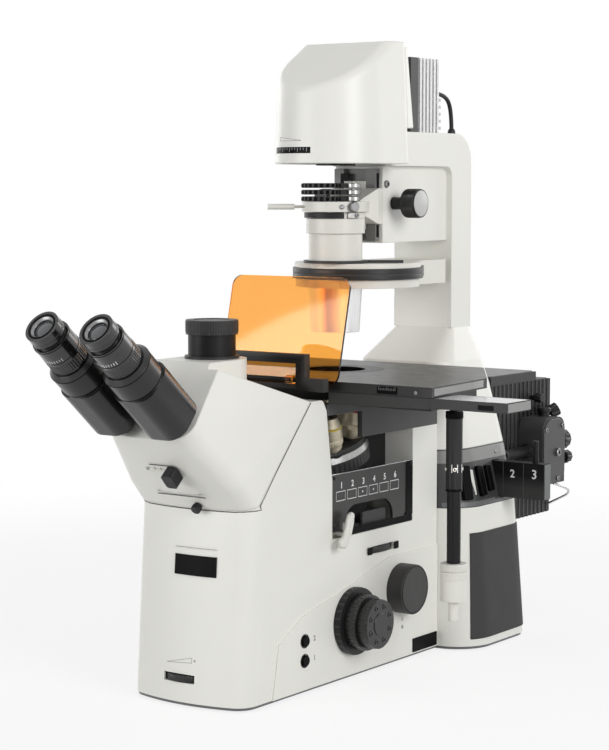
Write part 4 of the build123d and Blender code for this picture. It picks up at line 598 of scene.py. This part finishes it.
# Shutter lever's thumb piece
THUMB_OUTLINE = [
    (10, 18), (5, 20), (-1, 19), (-5, 13), (-9, 4), (-14, -3), (-22, -5),
    (-25, -10), (-23, -15), (-15, -17), (-6, -13), (2, -4), (8, 8),
]
thumb = Form()
thumb.plate(place_at((82, -98, 166), (-0.18, 0.9837, 0), (0.9837, 0.18, 0)), THUMB_OUTLINE, 0, 6)
thumb.finish("shutter_thumb", white_satin, "shutter_lever", "aluminium", 2.2)

# Seam round the head
SEAM_RADIUS = 0.0006
seam_path = [(75, -155, 308.5), (75, -185, 276.1), (75, -215, 243.7), (75, -244, 210.6)]
corner_line = []
for turn in (15, 30, 45, 60, 75):
    out = Vector((math.cos(math.radians(turn)), -math.sin(math.radians(turn)), 0))
    centre = Vector((52, -236, 206.5 - 1.9 * turn / 90))
    hit, spot, normal, _ = nodes["front_column"].ray_cast((centre + 150 * out) * MM, -out)
    if hit:
        corner_line.append(spot / MM)
seam_path += corner_line
for step in range(15):
    x = 56 - 8 * step
    hit, spot, normal, _ = nodes["front_column"].ray_cast(Vector((x, FRONT_START, 204.6)) * MM, Vector(BACK))
    if hit:
        seam_path.append(spot / MM)
seam_path += [(-x, y, z) for x, y, z in reversed(corner_line)]
seam_path += [(-x, y, z) for x, y, z in reversed(seam_path[:4])]
seam_spots = [Vector(spot) * MM for spot in seam_path]
seam, _ = round_line("head_seam", "POLY", seam_spots, SEAM_RADIUS, 2, dark_ink)
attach(seam, "stand")

# Marks and screw on the head's lower face
HEAD_OUT = (0, -0.749, -0.6626)
head_marks = Form()
head_marks.plate(place_at((2, -313.5, 254.2), RIGHT, HEAD_OUT), rounded(32, 1.3, 0.3, 1), -0.2, 0.12)
for x in (-17, -9, -1, 7):
    head_marks.plate(place_at((x, -309.8, 250.0), RIGHT, HEAD_OUT), rounded(0.7, 3.2, 0.2, 1), -0.2, 0.12)
head_marks.plate(place_at((4, -283.4, 220.2), RIGHT, HEAD_OUT), rounded(62, 1.5, 0.3, 1), -0.2, 0.12)
for x in (-23, 30):
    head_marks.plate(place_at((x, -286.5, 223.7), RIGHT, HEAD_OUT), rounded(4, 0.6, 0.2, 1), -0.2, 0.12)
head_marks.finish("head_marks", dark_ink, "stand", "black_metal")
head_screw = Form()
screw_profile = [(-1, 4.4), (0.6, 4.4), (1.2, 5.2, 1), (6.2, 5.2, 1), (7, 4.4)]
head_screw.turned(place_at((17.9, -273.9, 209.4), RIGHT, HEAD_OUT), screw_profile, 96, 24, 0.5)
head_screw.finish("head_screw", black_plastic, "stand", "black_plastic")

# Lamp head: ruled window and wedge
strip = Form()
strip.laid("lamp_head_cover", front_rays(-42, 13, 570.2, 577, 24, 2), 0.35)
strip.finish("lamp_scale", black_gloss, "stand", "black_plastic")
ticks = Form()
for index in range(13):
    x = -38.5 + 3.9 * index
    reach = 2.4 if index % 3 else 4.2
    ticks.laid("lamp_head_cover", front_rays(x, x + 0.7, 576.2 - reach, 576.2, 1, 1), 0.5)
ticks.finish("lamp_scale_ticks", grey_ink, "stand", "white_body")
wedge = Form()
wedge.laid("lamp_head_cover", front_rays(-33, 1, 583.6, 584.1, 12, 1), 0.12)
wedge.laid("lamp_head_cover", front_rays(-33, -32.4, 584, 588, 1, 1), 0.12)
wedge_rows = [
    [((-33 + 34 * c / 12, FRONT_START, 587.6 - 3.6 * c / 12 + rise), BACK) for c in range(13)]
    for rise in (0, 0.5)
]
wedge.laid("lamp_head_cover", wedge_rows, 0.12)
wedge.finish("lamp_wedge", grey_ink, "stand", "black_metal")


# Grips and bands of the rounded rear section
REAR_STEPS = 7
REAR_REACH = 90


def corner_ray(centre, degrees, z, side):
    """One ray that meets a rounded corner of the rear section, aimed at the corner's axis."""
    angle = math.radians(degrees)
    aim = (math.cos(angle), math.sin(angle))
    start = (side * (centre[0] + REAR_REACH * aim[0]), centre[1] + REAR_REACH * aim[1], z)
    return start, (-side * aim[0], -aim[1], 0)


def rear_rays(z, half, first, last, side):
    """Rays that meet the rear section from outside, from the front corner round to the back one."""
    centre = (half - 46, 143)
    rays = [corner_ray(centre, first * (1 - step / REAR_STEPS), z, side) for step in range(REAR_STEPS)]
    rays += [((side * 180, y, z), (-side, 0, 0)) for y in (146, 160, 175, 190, 206)]
    centre = (half - 26, 212)
    rays += [corner_ray(centre, last * step / REAR_STEPS, z, side) for step in range(1, REAR_STEPS + 1)]
    return rays


def band_rays(z, side):
    """Rays that meet the conical band."""
    return rear_rays(z, 104 - 0.24 * (z - 165), -62, 85, side)


for side, name in ((1, "right"), (-1, "left")):
    grip = Form()
    levels = [13 + 122.6 * step / 10 for step in range(11)]
    grip.laid("lower_body", [rear_rays(z, 121 - 0.08 * z, -38.5 + 0.075 * z, 70, side) for z in levels], 1.3)
    grip.finish(f"rear_grip_{name}", grip_rubber, "stand", "black_rubber", 0.8)
    ring = Form()
    ring.laid("epi_collar", [band_rays(z, side) for z in (216, 223, 230.5)], 0.5)
    ring.finish(f"band_edge_{name}", ring_silver, "stand", "grey_band", 0.2)
    ring = Form()
    ring.laid("epi_collar", [band_rays(z, side) for z in (166, 169, 171.5)], 0.5)
    ring.finish(f"band_ring_{name}", grey_paint, "stand", "grey_band", 0.2)

BAND_OUT = (0.971, 0, 0.239)
levers = Form()
levers.plate(place_at((101.5, 148, 193), BACK, BAND_OUT), rounded(11, 36, 3), -4, 5)
levers.plate(place_at((101.5, 168, 194.5), BACK, BAND_OUT), rounded(10, 31, 3), -4, 4)
levers.plate(place_at((101.2, 121, 194), (0.45, 0.89, 0), (0.86, -0.45, 0.24)), rounded(12, 40, 2), -4, 1)
levers.finish("band_levers", black_gloss, "stand", "black_plastic", 0.8)
slot_plate = Form()
window_outline = [(-4.5, 16), (3.5, 14), (2.5, -15), (0.5, -15)]
slot_plate.plate(place_at((100.6, 134.5, 193), BACK, (0.962, -0.15, 0.23)), window_outline, -2, 0.8)
slot_plate.finish("band_window", white_satin, "stand", "white_body", 0.2)
dots = Form()
for y, z in ((122, 222), (196, 222), (205, 176), (128, 176)):
    hit, spot, normal, _ = nodes["epi_collar"].ray_cast(Vector((200, y, z)) * MM, Vector(LEFT))
    dots.turned(place_at(spot / MM, BACK, normal), [(-0.3, 2.0), (1.1, 2.0), (1.4, 1.6)], 24)
dots.finish("band_screws", dull_metal, "stand", "chrome")

# Filter slider
for figure, size, x, z in (("3", 15, 153.5, 200), ("2", 13, 124.5, 199)):
    place = place_at((x, 184.9, z), RIGHT, FRONT)
    lettering(f"slider_mark_{figure}", figure, size, place, white_ink, "epi_slider")
end_plate = Form()
end_plate.plate(facing(166, 192.5, 192), rounded(13.6, 40.5, 1), -0.2, 1.2)
end_plate.finish("slider_end", grey_paint, "epi_slider", "grey_band", 0.4)
end_plate = Form()
for x in (139, 112):
    end_plate.plate(place_at((x, 185, 192), RIGHT, FRONT), rounded(0.8, 40, 0.2, 1), -0.2, 0.1)
end_plate.finish("slider_lines", dark_paint, "epi_slider", "black_metal")

# Lamp house: fine ribs, thumb screws and end plate
ribs = Form()
RIB_PITCH = 152 / 15
RIB_BOTTOM, SOCKET_BOTTOM, SOCKET_TOP, RIB_TOP = 120.3, 164, 247, 290.7
rib_outline = rounded(6.4, 1.7, 0.5, 1)
for index in range(15):
    y = 262 + (index + 0.725) * RIB_PITCH
    for x in (-46.6, 46.6):
        runs = [(RIB_BOTTOM, RIB_TOP)]
        if x > 0 and 324 < y < 394:
            runs = [(RIB_BOTTOM, SOCKET_BOTTOM), (SOCKET_TOP, RIB_TOP)]
        for low, high in runs:
            ribs.plate(standing(x, y, 0), rib_outline, low, high)
ribs.finish("lamp_house_ribs", rib_paint, "stand", "black_metal")
cover_top = Form()
cover_top.plate(standing(0, 318, 302), rounded(96, 108, 6), -0.3, 1.2)
cover_top.finish("lamp_house_lid", lid_paint, "stand", "grey_band", 0.6)
cap = Form()
cap_outline = [spot for spot in rounded(54, 80, 20, 8) if spot[1] > 0] + [(-27, -40), (16, -40), (27, -28)]
cap.plate(facing(84, 359.5, 205.5), cap_outline, -0.3, 1.4)
cap.finish("socket_cap", band_paint, "stand", "grey_band", 0.6)
screws = Form()
for y, z in ((338, 233), (379, 236), (368, 170), (337, 170)):
    screws.turned(facing(85.3, y, z), [(-0.5, 3.1), (1.4, 3.1), (1.9, 2.6), (1.9, 1.5), (0.6, 1.4)], 28)
screws.turned(facing(85.3, 366, 203), [(-0.5, 5.2), (3, 5.2), (3.8, 4.4), (3.8, 2.3), (1.2, 2.2)], 36)
screws.finish("socket_screws", dull_metal, "stand", "chrome")
knobs = Form()
grip_profile = [(-14, 3), (0, 3), (0.4, 7.6), (1.4, 8.6, 1), (11, 8.6, 1), (12, 7.4), (12, 3.4), (10.5, 3)]
knobs.turned(place_at((80, 391, 194), RIGHT, BACK), grip_profile, 72, 9, 2.0)
knobs.turned(place_at((57, 398, 248), RIGHT, (0.62, 0.62, 0.48)), [(-16, 3.2)] + grip_profile[1:], 72, 9, 2.0)
knobs.turned(facing(52, 362, 270), [(-6, 3), (4, 3), (4.3, 5.4), (5, 6, 1), (13, 6, 1), (14, 5)], 72, 9, 1.0)
knobs.turned(standing(63, 372, 247), [(-1, 6.4), (5, 6.4), (5.4, 8.5), (9, 8.5), (10, 7.6)], 48)
tube_profile = [(-1, 9), (5, 9), (6, 6.4), (58, 6.4), (60, 7.4), (64, 7.4), (64, 4.5), (50, 4.2)]
knobs.turned(place_at((64, 331, 207), RIGHT, FRONT), tube_profile, 48)
knobs.finish("lamp_house_knobs", black_plastic, "stand", "black_plastic")
turning = Form()
wide_grip = [(2, 9.5), (6.2, 12.2), (6.8, 13.4, 1), (18.4, 13.4, 1), (19.6, 12.2), (19.6, 4.4), (17.6, 4)]
turning.turned(place_at((66, 397, 214), RIGHT, BACK), wide_grip, 96, 12, 2.0)
turning.finish("adjuster_grip", black_plastic, "lamp_adjuster", "black_plastic")

# Stage: scale, screws and rail end
scale = Form()
scale.plate(place_at((152, -127, 323.7), RIGHT, FRONT), rounded(25, 7.6, 0.6, 2), -0.2, 0.4)
scale.finish("stage_scale", black_gloss, "stage_plate", "black_metal")
scale = Form()
for index in range(11):
    short = index % 5 != 0
    place = place_at((142 + 2 * index, -127.4, 325.4 - short * 0.6), RIGHT, FRONT)
    scale.plate(place, rounded(0.35, 3.6 - 1.2 * short, 0.1, 1), -0.1, 0.1)
scale.finish("stage_scale_ticks", grey_ink, "stage_plate", "white_body")
stage_screws = Form()
edge_screw = [(-0.3, 2.0), (0.6, 2.0), (0.9, 1.6), (0.9, 0.9), (0.2, 0.8)]
for x in (187, -60, -150):
    stage_screws.turned(place_at((x, -127, 323), RIGHT, FRONT), edge_screw, 24)
flush_screw = [(-0.5, 2.4), (0.05, 2.4), (0.1, 2.2), (0.1, 1.2), (-0.4, 1.1)]
for x, y in ((-90, -60), (-90, 60), (90, -60), (90, 60)):
    stage_screws.turned(standing(x, y, 329.4), flush_screw, 24)
stage_screws.finish("stage_screws", dull_metal, "stage_plate", "chrome")
stage_edge = Form()
edge_rows = [[((400, -122 + 228 * step / 8, z), LEFT) for step in range(9)] for z in (320.4, 327.8)]
stage_edge.laid("stage_plate", edge_rows, 0.25)
stage_edge.finish("stage_edge", ring_silver, "stage_plate", "black_metal")
rail_top = Form()
rail_top.plate(standing(250, -102, 318.3), rounded(84, 43, 1, 2), -0.2, 0.2)
rail_top.finish("rail_top", steel, "stage_y_carriage", "aluminium")
rail_end = Form()
rail_end.plate(facing(294, -102, 313), rounded(46, 8.6, 0.8), -0.2, 0.8)
rail_end.finish("rail_end", ring_silver, "stage_y_carriage", "grey_band", 0.3)
rail_end = Form()
rail_end.plate(place_at((270, -127, 312.6), RIGHT, FRONT), rounded(18, 5, 0.6), -0.2, 0.4)
rail_end.finish("rail_window", black_gloss, "stage_y_carriage", "black_metal")

# White rear flange of the lamp head, deeper at its foot
FLANGE_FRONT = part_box("lamp_head_cover")[1][1] / MM - 1
flange_points = []
for z, depth in ((599, 14.5), (689, 7.5)):
    side_start = Vector((200, FLANGE_FRONT - 3, z)) * MM
    hit, spot, normal, _ = nodes["lamp_head_cover"].ray_cast(side_start, Vector(LEFT))
    half = spot.x / MM - 0.6
    for x, y in ((half, 0), (half - 1.5, depth), (1.5 - half, depth), (-half, 0)):
        flange_points.append((x, FLANGE_FRONT + y, z))
flange = Form()
flange_faces = [(3, 2, 1, 0), (4, 5, 6, 7), (0, 1, 5, 4), (1, 2, 6, 5), (2, 3, 7, 6), (3, 0, 4, 7)]
flange.add(ORIGIN, flange_points, flange_faces)
flange.finish("lamp_head_flange", white_paint, "stand", "white_body", 1.5)


# Hand control hanging from the stage
HANDLE = (190, -55)
HANDLE_RADIUS = 8.8


def on_handle(degrees, z):
    """A place on the handle's round side."""
    angle = math.radians(degrees)
    out = (math.cos(angle), math.sin(angle), 0)
    spot = (HANDLE[0] + HANDLE_RADIUS * out[0], HANDLE[1] + HANDLE_RADIUS * out[1], z)
    return place_at(spot, (-out[1], out[0], 0), out)


marks = Form()
for turn in (-75, -35, 5):
    marks.plate(on_handle(turn, 238), rounded(0.9, 9, 0.3, 1), -0.3, 0.15)
marks.finish("handle_marks", white_ink, "stage_y_carriage", "white_body")
fittings = Form()
for turn in (-55, 35, 215):
    fittings.turned(on_handle(turn, 237), [(-1.5, 2.2), (0.5, 2.2), (0.7, 1.8), (0.7, 1.0), (-0.2, 0.9)], 24)
fittings.finish("handle_screws", chrome, "stage_y_carriage", "chrome")
collars = Form()
collars.turned(standing(*HANDLE, 0), [(213.4, 8.2), (213.4, 9.1), (215.4, 9.1), (216, 8.9)], 48)
knurled_collar = [(290.5, 8.9), (291, 9.4, 1), (297.5, 9.4, 1), (298.2, 8.6)]
collars.turned(standing(*HANDLE, 0), knurled_collar, 96, 24, 0.5)
collars.finish("handle_collars", black_gloss, "stage_y_carriage", "black_metal")
for name, body, low, high, radius in (
    ("y_grip", "stage_y_knob", 128.2, 135.8, 14.5),
    ("x_grip", "stage_x_knob", 118.5, 127.3, 14.4),
):
    grips = Form()
    profile = [(low, radius - 0.9), (low + 0.6, radius, 1), (high - 0.6, radius, 1), (high, radius - 0.9)]
    grips.turned(standing(*HANDLE, 0), profile, 240, 60, 0.5)
    grips.finish(name, white_satin, body, "aluminium")


# Knurled and ribbed edges
def ribbed(
    name, body, place, low, high, radius, count, depth, made=knob_gloss, slot="black_plastic", proud=0.45
):
    """A gripping band round a knob or a ring, proud of its radius."""
    edge = Form()
    top = radius + proud
    profile = [(low, radius - 0.6), (low + 0.7, top, 1), (high - 0.7, top, 1), (high, radius - 0.6)]
    edge.turned(place, profile, count * 4, count, depth)
    edge.finish(name, made, body, slot)


FOCUS = (-78.4, 64.6)
FINE_FACE = 112.9
pip_profile = [(-0.3, 3.0), (0.5, 3.0), (0.9, 2.5), (0.9, 1.6), (-0.1, 1.4)]
for side, name in ((1, "right"), (-1, "left")):
    knob = place_at((0, *FOCUS), BACK, (side, 0, 0))
    ribbed(f"coarse_grip_{name}", "coarse_knobs", knob, 86.2, 98.8, 30, 36, 1.0)
    ribbed(f"fine_grip_{name}", "fine_knobs", knob, 100.6, 111.2, 26.5, 54, 0.7)
    pips = Form()
    for index in range(8):
        angle = math.tau * (index + 0.5) / 8
        spot = (side * FINE_FACE, FOCUS[0] + 19.5 * math.cos(angle), FOCUS[1] + 19.5 * math.sin(angle))
        pips.turned(place_at(spot, BACK, (side, 0, 0)), pip_profile, 28)
    middle = place_at((side * FINE_FACE, *FOCUS), BACK, (side, 0, 0))
    pips.turned(middle, [(-0.3, 12.4), (0.5, 12.4), (0.9, 11.9)], 64)
    pips.finish(f"fine_face_{name}", knob_gloss, "fine_knobs", "black_plastic")
ribbed("tension_grip", "tension_ring", place_at((0, *FOCUS), BACK, RIGHT), 77.2, 84.9, 36.5, 28, 1.5)
rim = Form()
rim.turned(facing(96.8, 17, 85.5), [(-0.4, 26.6), (0.35, 26.6), (0.35, 25.9), (-0.4, 25.9), (-0.4, 26.6)], 96)
rim.finish("port_knob_ring", black_gloss, "port_knob", "black_plastic")
ribbed("dial_grip", "magnification_dial", standing(30, -17, 0), 132.1, 138.7, 47.5, 110, 0.5, proud=0.3)
ribbed("wheel_grip", "brightness_wheel", standing(-3, -253.2, 0), 26.2, 32.8, 30, 72, 0.6, proud=0.3)
rim_profile = [
    (431, 73.4), (431.8, 74.2), (435.2, 74.2), (435.6, 73.8),
    (437.2, 73.8), (437.6, 74.2), (441.6, 74.2), (442.4, 73.4),
]
edge = Form()
edge.turned(standing(0, 45, 0), rim_profile, 160)
edge.finish("turret_rim", stage_black, "condenser_turret", "black_metal")
port = standing(0, -226.5, 0)
ribbed("port_ring_grip", "stand", port, 384, 396.4, 27.3, 60, 0.4, black_paint, "black_metal", 0.3)


# Condenser: dark sleeve, clamp screws, knob faces and filter rings
CLAMP_OUT = (0.9, -0.44, 0)


def arc_band(first, last, inner, outer):
    """The outline of part of a ring, between two angles."""
    angles = [math.radians(first + (last - first) * step / 36) for step in range(37)]
    outline = [(outer * math.cos(a), outer * math.sin(a)) for a in angles]
    return outline + [(inner * math.cos(a), inner * math.sin(a)) for a in reversed(angles)]


sleeve = Form()
sleeve.plate(standing(0, 0, 0), arc_band(-215, -40, 26, 35.2), 499.2, 505.2)
sleeve.finish("condenser_sleeve", black_paint, "condenser_carriage", "black_metal", 0.2)
sleeve = Form()
sleeve.plate(standing(0, 0, 0), arc_band(-39, 144, 26, 32.8), 498.6, 505.8)
sleeve.finish("condenser_half_ring", white_satin, "condenser_carriage", "white_body", 0.3)
blocks = Form()
blocks.plate(place_at((30.5, -12, 502.1), (0.44, 0.9, 0), CLAMP_OUT), rounded(13, 6.4, 1), -4, 3)
blocks.finish("sleeve_clamp", lug_metal, "condenser_carriage", "aluminium", 0.5)
grips = Form()
knurled_screw = [(-3, 4), (0.4, 4), (0.9, 5.8, 1), (6, 5.8, 1), (6.8, 5.0)]
socket_screw = [(-3, 2.4), (1.4, 2.4), (1.9, 2.0), (1.9, 1.0), (0.4, 0.9)]
grips.turned(place_at((34, -17, 511.6), UP, CLAMP_OUT), knurled_screw, 96, 24, 0.7)
grips.turned(place_at((26.5, -26.5, 511.6), UP, (0.72, -0.69, 0)), [(-2, 2.6), (2, 2.6), (2.6, 2.0)], 28)
grips.turned(place_at((35, -9.5, 502.1), UP, CLAMP_OUT), socket_screw, 28)
grips.finish("condenser_screws", dull_metal, "condenser_carriage", "chrome")
windows = Form()
windows.plate(place_at((-14, 38.6, 538), RIGHT, FRONT), rounded(11, 22, 1, 2), -0.2, 0.25)
windows.plate(facing(28, 42.8, 538), rounded(4.6, 22, 0.8, 2), -0.2, 0.25)
windows.plate(facing(28, 42.8, 484), rounded(4.6, 14, 0.8, 2), -0.2, 0.25)
windows.finish("rail_windows", black_gloss, "stand", "black_metal")
rail_screw = Form()
rail_screw.turned(facing(32, 54, 536.8), [(-1, 4.2), (2.2, 4.2), (2.9, 3.6), (2.9, 2.0), (0.8, 1.9)], 36)
rail_screw.finish("rail_screw", dull_metal, "stand", "chrome")
for side, name in ((1, "right"), (-1, "left")):
    knob = place_at((0, 70, 515), BACK, (side, 0, 0))
    ribbed(f"condenser_grip_{name}", "condenser_knobs", knob, 51, 67.4, 16, 60, 0.5)
    face = Form()
    face.turned(knob, [(67.9, 14.6), (68.9, 14.6), (69.2, 14.2)], 72)
    face.finish(f"condenser_face_{name}", face_paint, "condenser_knobs", "aluminium")
FILTER_PLACE = standing(-14, -8, 0)
for index in range(3):
    low = 517.6 + 7.4 * index
    body = f"filter_holder_{index + 1}"
    bottom, top = low + 0.1, low + 5.2
    name = f"filter_ring_{index + 1}"
    ribbed(name, body, FILTER_PLACE, bottom, top, 21.5, 20, 1.6, black_gloss, "black_metal", 1.0)
    lug = Form()
    lug.turned(standing(17, 10, 0), [(bottom, 7.4), (low + 0.5, 8), (low + 4.8, 8), (top, 7.4)], 48)
    lug.finish(f"filter_lug_{index + 1}", lug_metal, body, "aluminium")

# Objectives: coloured rings and gripping rings
TILT = math.radians(15)
NOSE_AXIS = Vector((0, -math.sin(TILT), math.cos(TILT)))
NOSE_SIDE = Vector((0, math.cos(TILT), math.sin(TILT)))
NOSE_PLACE = Vector((0, -36, 228))
NOSE_HEIGHT = 26
SEAT_REACH = (NOSE_HEIGHT * math.sin(TILT) + 36) / math.cos(TILT)
ring_paints = [
    coated(f"ring_{name}", colour, 0.4, 500.0, 0.00002, 0)
    for name, colour in (
        ("brown", (0.3, 0.14, 0.05)),
        ("red", (0.55, 0.05, 0.03)),
        ("yellow", (0.75, 0.55, 0.04)),
        ("green", (0.06, 0.35, 0.12)),
        ("blue", (0.08, 0.25, 0.6)),
        ("white", (0.8, 0.8, 0.8)),
    )
]
for index in range(6):
    turn = math.tau * index / 6
    outward = NOSE_SIDE * math.cos(turn) + Vector((math.sin(turn), 0, 0))
    seat = NOSE_PLACE + NOSE_AXIS * NOSE_HEIGHT + outward * SEAT_REACH
    aim = NOSE_AXIS * math.cos(TILT) + outward * math.sin(TILT)
    lens_place = place_at(seat, NOSE_AXIS.cross(aim) + Vector((1e-6, 0, 0)), aim)
    ring = Form()
    ring.turned(lens_place, [(30.6, 12.9), (30.8, 13.25), (33.2, 13.25), (33.4, 12.9)], 48)
    ring.finish(f"objective_ring_{index + 1}", ring_paints[index], "nosepiece", "chrome")
    ring = Form()
    ring.turned(lens_place, [(9.4, 12.6), (10, 13.5, 1), (16.4, 13.5, 1), (17, 12.8)], 192, 48, 0.5)
    ring.turned(lens_place, [(21.8, 12.9), (22, 13.15), (22.6, 13.15), (22.8, 12.9)], 48)
    ring.finish(f"objective_grip_{index + 1}", objective_metal, "nosepiece", "chrome")
nose_grip = place_at(NOSE_PLACE, RIGHT, NOSE_AXIS)
ribbed("nosepiece_grip", "nosepiece", nose_grip, 1.2, 11.6, 60, 60, 1.0, black_paint, "black_metal", 0.3)
nose_label = Form()
nose_label.turned(nose_grip, [(13.2, 59.6), (13.6, 60.1), (20.5, 58.7), (20.9, 58.2)], 120)
nose_label.finish("nosepiece_band", lug_metal, "nosepiece", "aluminium")

# Eyepieces and tubes
TUBE_X = 34.2
TUBE_SEAT = (-327.288, 297.194)
TUBE_AIM = Vector((0, -0.76083, 0.64895))
TUBE_TOP = Vector((0, 0.64895, 0.76083))
BARREL_RADIUS = 20
lens_rim = [(158.8, 13.0), (158.8, 15.2), (159.5, 15.2), (159.6, 14.8), (159.6, 13.0), (158.8, 13.0)]
lens_seat = [(152.5, 12.9), (158.4, 12.9), (158.2, 12.2), (156.2, 10.4), (152.5, 10.4), (152.5, 12.9)]
lens_dome = [(152.5, 10.2), (154.6, 10.2), (155.6, 8.6), (156.2, 6.2), (156.6, 3.6), (156.7, 1.0)]
for side, name in ((-1, "left"), (1, "right")):
    seat = Vector((side * TUBE_X, *TUBE_SEAT))
    tube = place_at(seat, RIGHT, TUBE_AIM)
    eyepiece = f"{name}_eyepiece"
    ribbed(f"{name}_dioptre_grip", eyepiece, tube, 108, 121, BARREL_RADIUS, 48, 0.6)
    ribbed(f"{name}_eyecup_grip", eyepiece, tube, 148.6, 153, 18.2, 60, 0.3, proud=0.2)
    rings = Form()
    rings.turned(tube, [(123.5, 20.0), (123.7, 20.25), (124.2, 20.25), (124.4, 20.0)], 72)
    rings.turned(tube, [(141.0, 20.0), (141.2, 20.25), (141.9, 20.25), (142.1, 19.8)], 72)
    rings.turned(tube, lens_rim, 72)
    rings.finish(f"{name}_eyepiece_rings", black_gloss, eyepiece, "black_plastic")
    seat_ring = Form()
    seat_ring.turned(tube, lens_seat, 72)
    seat_ring.finish(f"{name}_lens_ring", dull_metal, eyepiece, "black_metal")
    lens = Form()
    lens.turned(tube, lens_dome, 72)
    lens.finish(f"{name}_eye_lens", lens_dark, eyepiece, "glass")
    figures = Form()
    for index in range(11):
        angle = math.radians(-130 + 8 * index)
        out = Vector((math.cos(angle), 0, 0)) + TUBE_TOP * math.sin(angle)
        spot = seat + TUBE_AIM * 127.5 + out * BARREL_RADIUS
        tick = rounded(0.6, 3.0 + 1.4 * (index % 5 == 0), 0.2, 1)
        figures.plate(place_at(spot, TUBE_AIM.cross(out), out), tick, -0.2, 0.12)
    figures.finish(f"{name}_dioptre_marks", white_ink, eyepiece, "white_body")
    place = place_at(seat + TUBE_AIM * 135 + TUBE_TOP * (BARREL_RADIUS + 0.05), RIGHT, TUBE_TOP)
    lettering(f"{name}_eyepiece_mark", "10", 6, place, white_ink, eyepiece)
    bands = Form()
    bands.turned(tube, [(78, 25.6), (78.2, 26.05), (79, 26.05), (79.2, 25.6)], 72)
    bands.turned(tube, [(100.6, 25.6), (100.8, 26.05), (101.6, 26.05), (101.8, 25.6)], 72)
    bands.finish(f"{name}_tube_bands", black_gloss, f"{name}_tube", "black_plastic")

# Studio: pale floor, soft lamps and a white surround
FLOOR_REACH = 30.0
FLOOR_COLOUR = (0.97, 0.97, 0.97)
FLOOR_BOUNCE = (0.65, 0.65, 0.65)
NEAR_WHITE = 0.8
SHADOW_REACH = 0.7
WHITE_REACH = 1.5
WORLD_LEVEL = 0.34


def seen_rays(tree):
    """One where a surface is looked at, in a mirror or through glass too, and none for its light."""
    rays = tree.nodes.new("ShaderNodeLightPath")
    total = rays.outputs["Is Camera Ray"]
    for name in ("Is Glossy Ray", "Is Transmission Ray"):
        either = tree.nodes.new("ShaderNodeMath")
        either.operation = "MAXIMUM"
        tree.links.new(total, either.inputs[0])
        tree.links.new(rays.outputs[name], either.inputs[1])
        total = either.outputs[0]
    return total


floor_mesh = bpy.data.meshes.new("floor")
floor_mesh.from_pydata(
    [(right * FLOOR_REACH, back * FLOOR_REACH, 0) for right, back in ((-1, -1), (1, -1), (1, 1), (-1, 1))],
    [],
    [(0, 1, 2, 3)],
)
floor = bpy.data.objects.new("floor", floor_mesh)
bpy.context.collection.objects.link(floor)
floor_paint, floor_tree, floor_shader = new_material("floor_paint", FLOOR_COLOUR, 0.9)
floor_shader.inputs["Specular IOR Level"].default_value = 0.0
link = floor_tree.links.new
floor_seen = seen_rays(floor_tree)
floor_tint = floor_tree.nodes.new("ShaderNodeMix")
floor_tint.data_type = "RGBA"
floor_tint.inputs["A"].default_value = (*FLOOR_BOUNCE, 1)
link(floor_seen, floor_tint.inputs["Factor"])
floor_mottle = noise(floor_tree, place_vector(floor_tree), 3.0)
floor_stops = [(0.3, shade(FLOOR_COLOUR, 0.995)), (0.7, shade(FLOOR_COLOUR, 1.005))]
link(ramp(floor_tree, floor_mottle, floor_stops), floor_tint.inputs["B"])
link(floor_tint.outputs["Result"], floor_shader.inputs["Base Color"])
distance = floor_tree.nodes.new("ShaderNodeVectorMath")
distance.operation = "LENGTH"
link(place_vector(floor_tree), distance.inputs[0])
fade = floor_tree.nodes.new("ShaderNodeMapRange")
fade.interpolation_type = "SMOOTHSTEP"
fade.inputs["From Min"].default_value = SHADOW_REACH
fade.inputs["From Max"].default_value = WHITE_REACH
fade.inputs["To Min"].default_value = NEAR_WHITE
link(distance.outputs["Value"], fade.inputs["Value"])
far_and_seen = floor_tree.nodes.new("ShaderNodeMath")
far_and_seen.operation = "MULTIPLY"
link(fade.outputs["Result"], far_and_seen.inputs[0])
link(floor_seen, far_and_seen.inputs[1])
white = floor_tree.nodes.new("ShaderNodeEmission")
floor_mix = floor_tree.nodes.new("ShaderNodeMixShader")
link(far_and_seen.outputs[0], floor_mix.inputs["Fac"])
link(floor_shader.outputs[0], floor_mix.inputs[1])
link(white.outputs[0], floor_mix.inputs[2])
link(floor_mix.outputs[0], floor_tree.nodes["Material Output"].inputs["Surface"])
floor_mesh.materials.append(floor_paint)

world = bpy.data.worlds.new("world")
bpy.context.scene.world = world
world.use_nodes = True
world_tree = world.node_tree
backdrop = world_tree.nodes["Background"]
backdrop.inputs["Color"].default_value = (1, 1, 1, 1)
world_tree.links.new(spread(world_tree, seen_rays(world_tree), WORLD_LEVEL, 1.0), backdrop.inputs["Strength"])


def area_lamp(name, place, target, size, power):
    """A round lamp that faces a target."""
    data = bpy.data.lights.new(name, "AREA")
    data.shape = "DISK"
    data.size = size
    data.energy = power
    lamp = bpy.data.objects.new(name, data)
    lamp.location = place
    lamp.rotation_euler = (Vector(target) - Vector(place)).to_track_quat("-Z", "Y").to_euler()
    bpy.context.collection.objects.link(lamp)


area_lamp("key", (2.9, -0.8, 1.35), (0, 0, 0.3), 1.8, 52)
area_lamp("fill", (-1.3, -2.7, 0.6), (0, -0.1, 0.25), 1.8, 33)
area_lamp("left", (-2.7, 0.9, 1.2), (0, 0, 0.3), 1.8, 16)
area_lamp("back", (0.6, 3.0, 1.3), (0, 0, 0.3), 1.8, 16)
area_lamp("top", (0.2, 0.2, 3.0), (0, 0, 0.3), 2.2, 4)
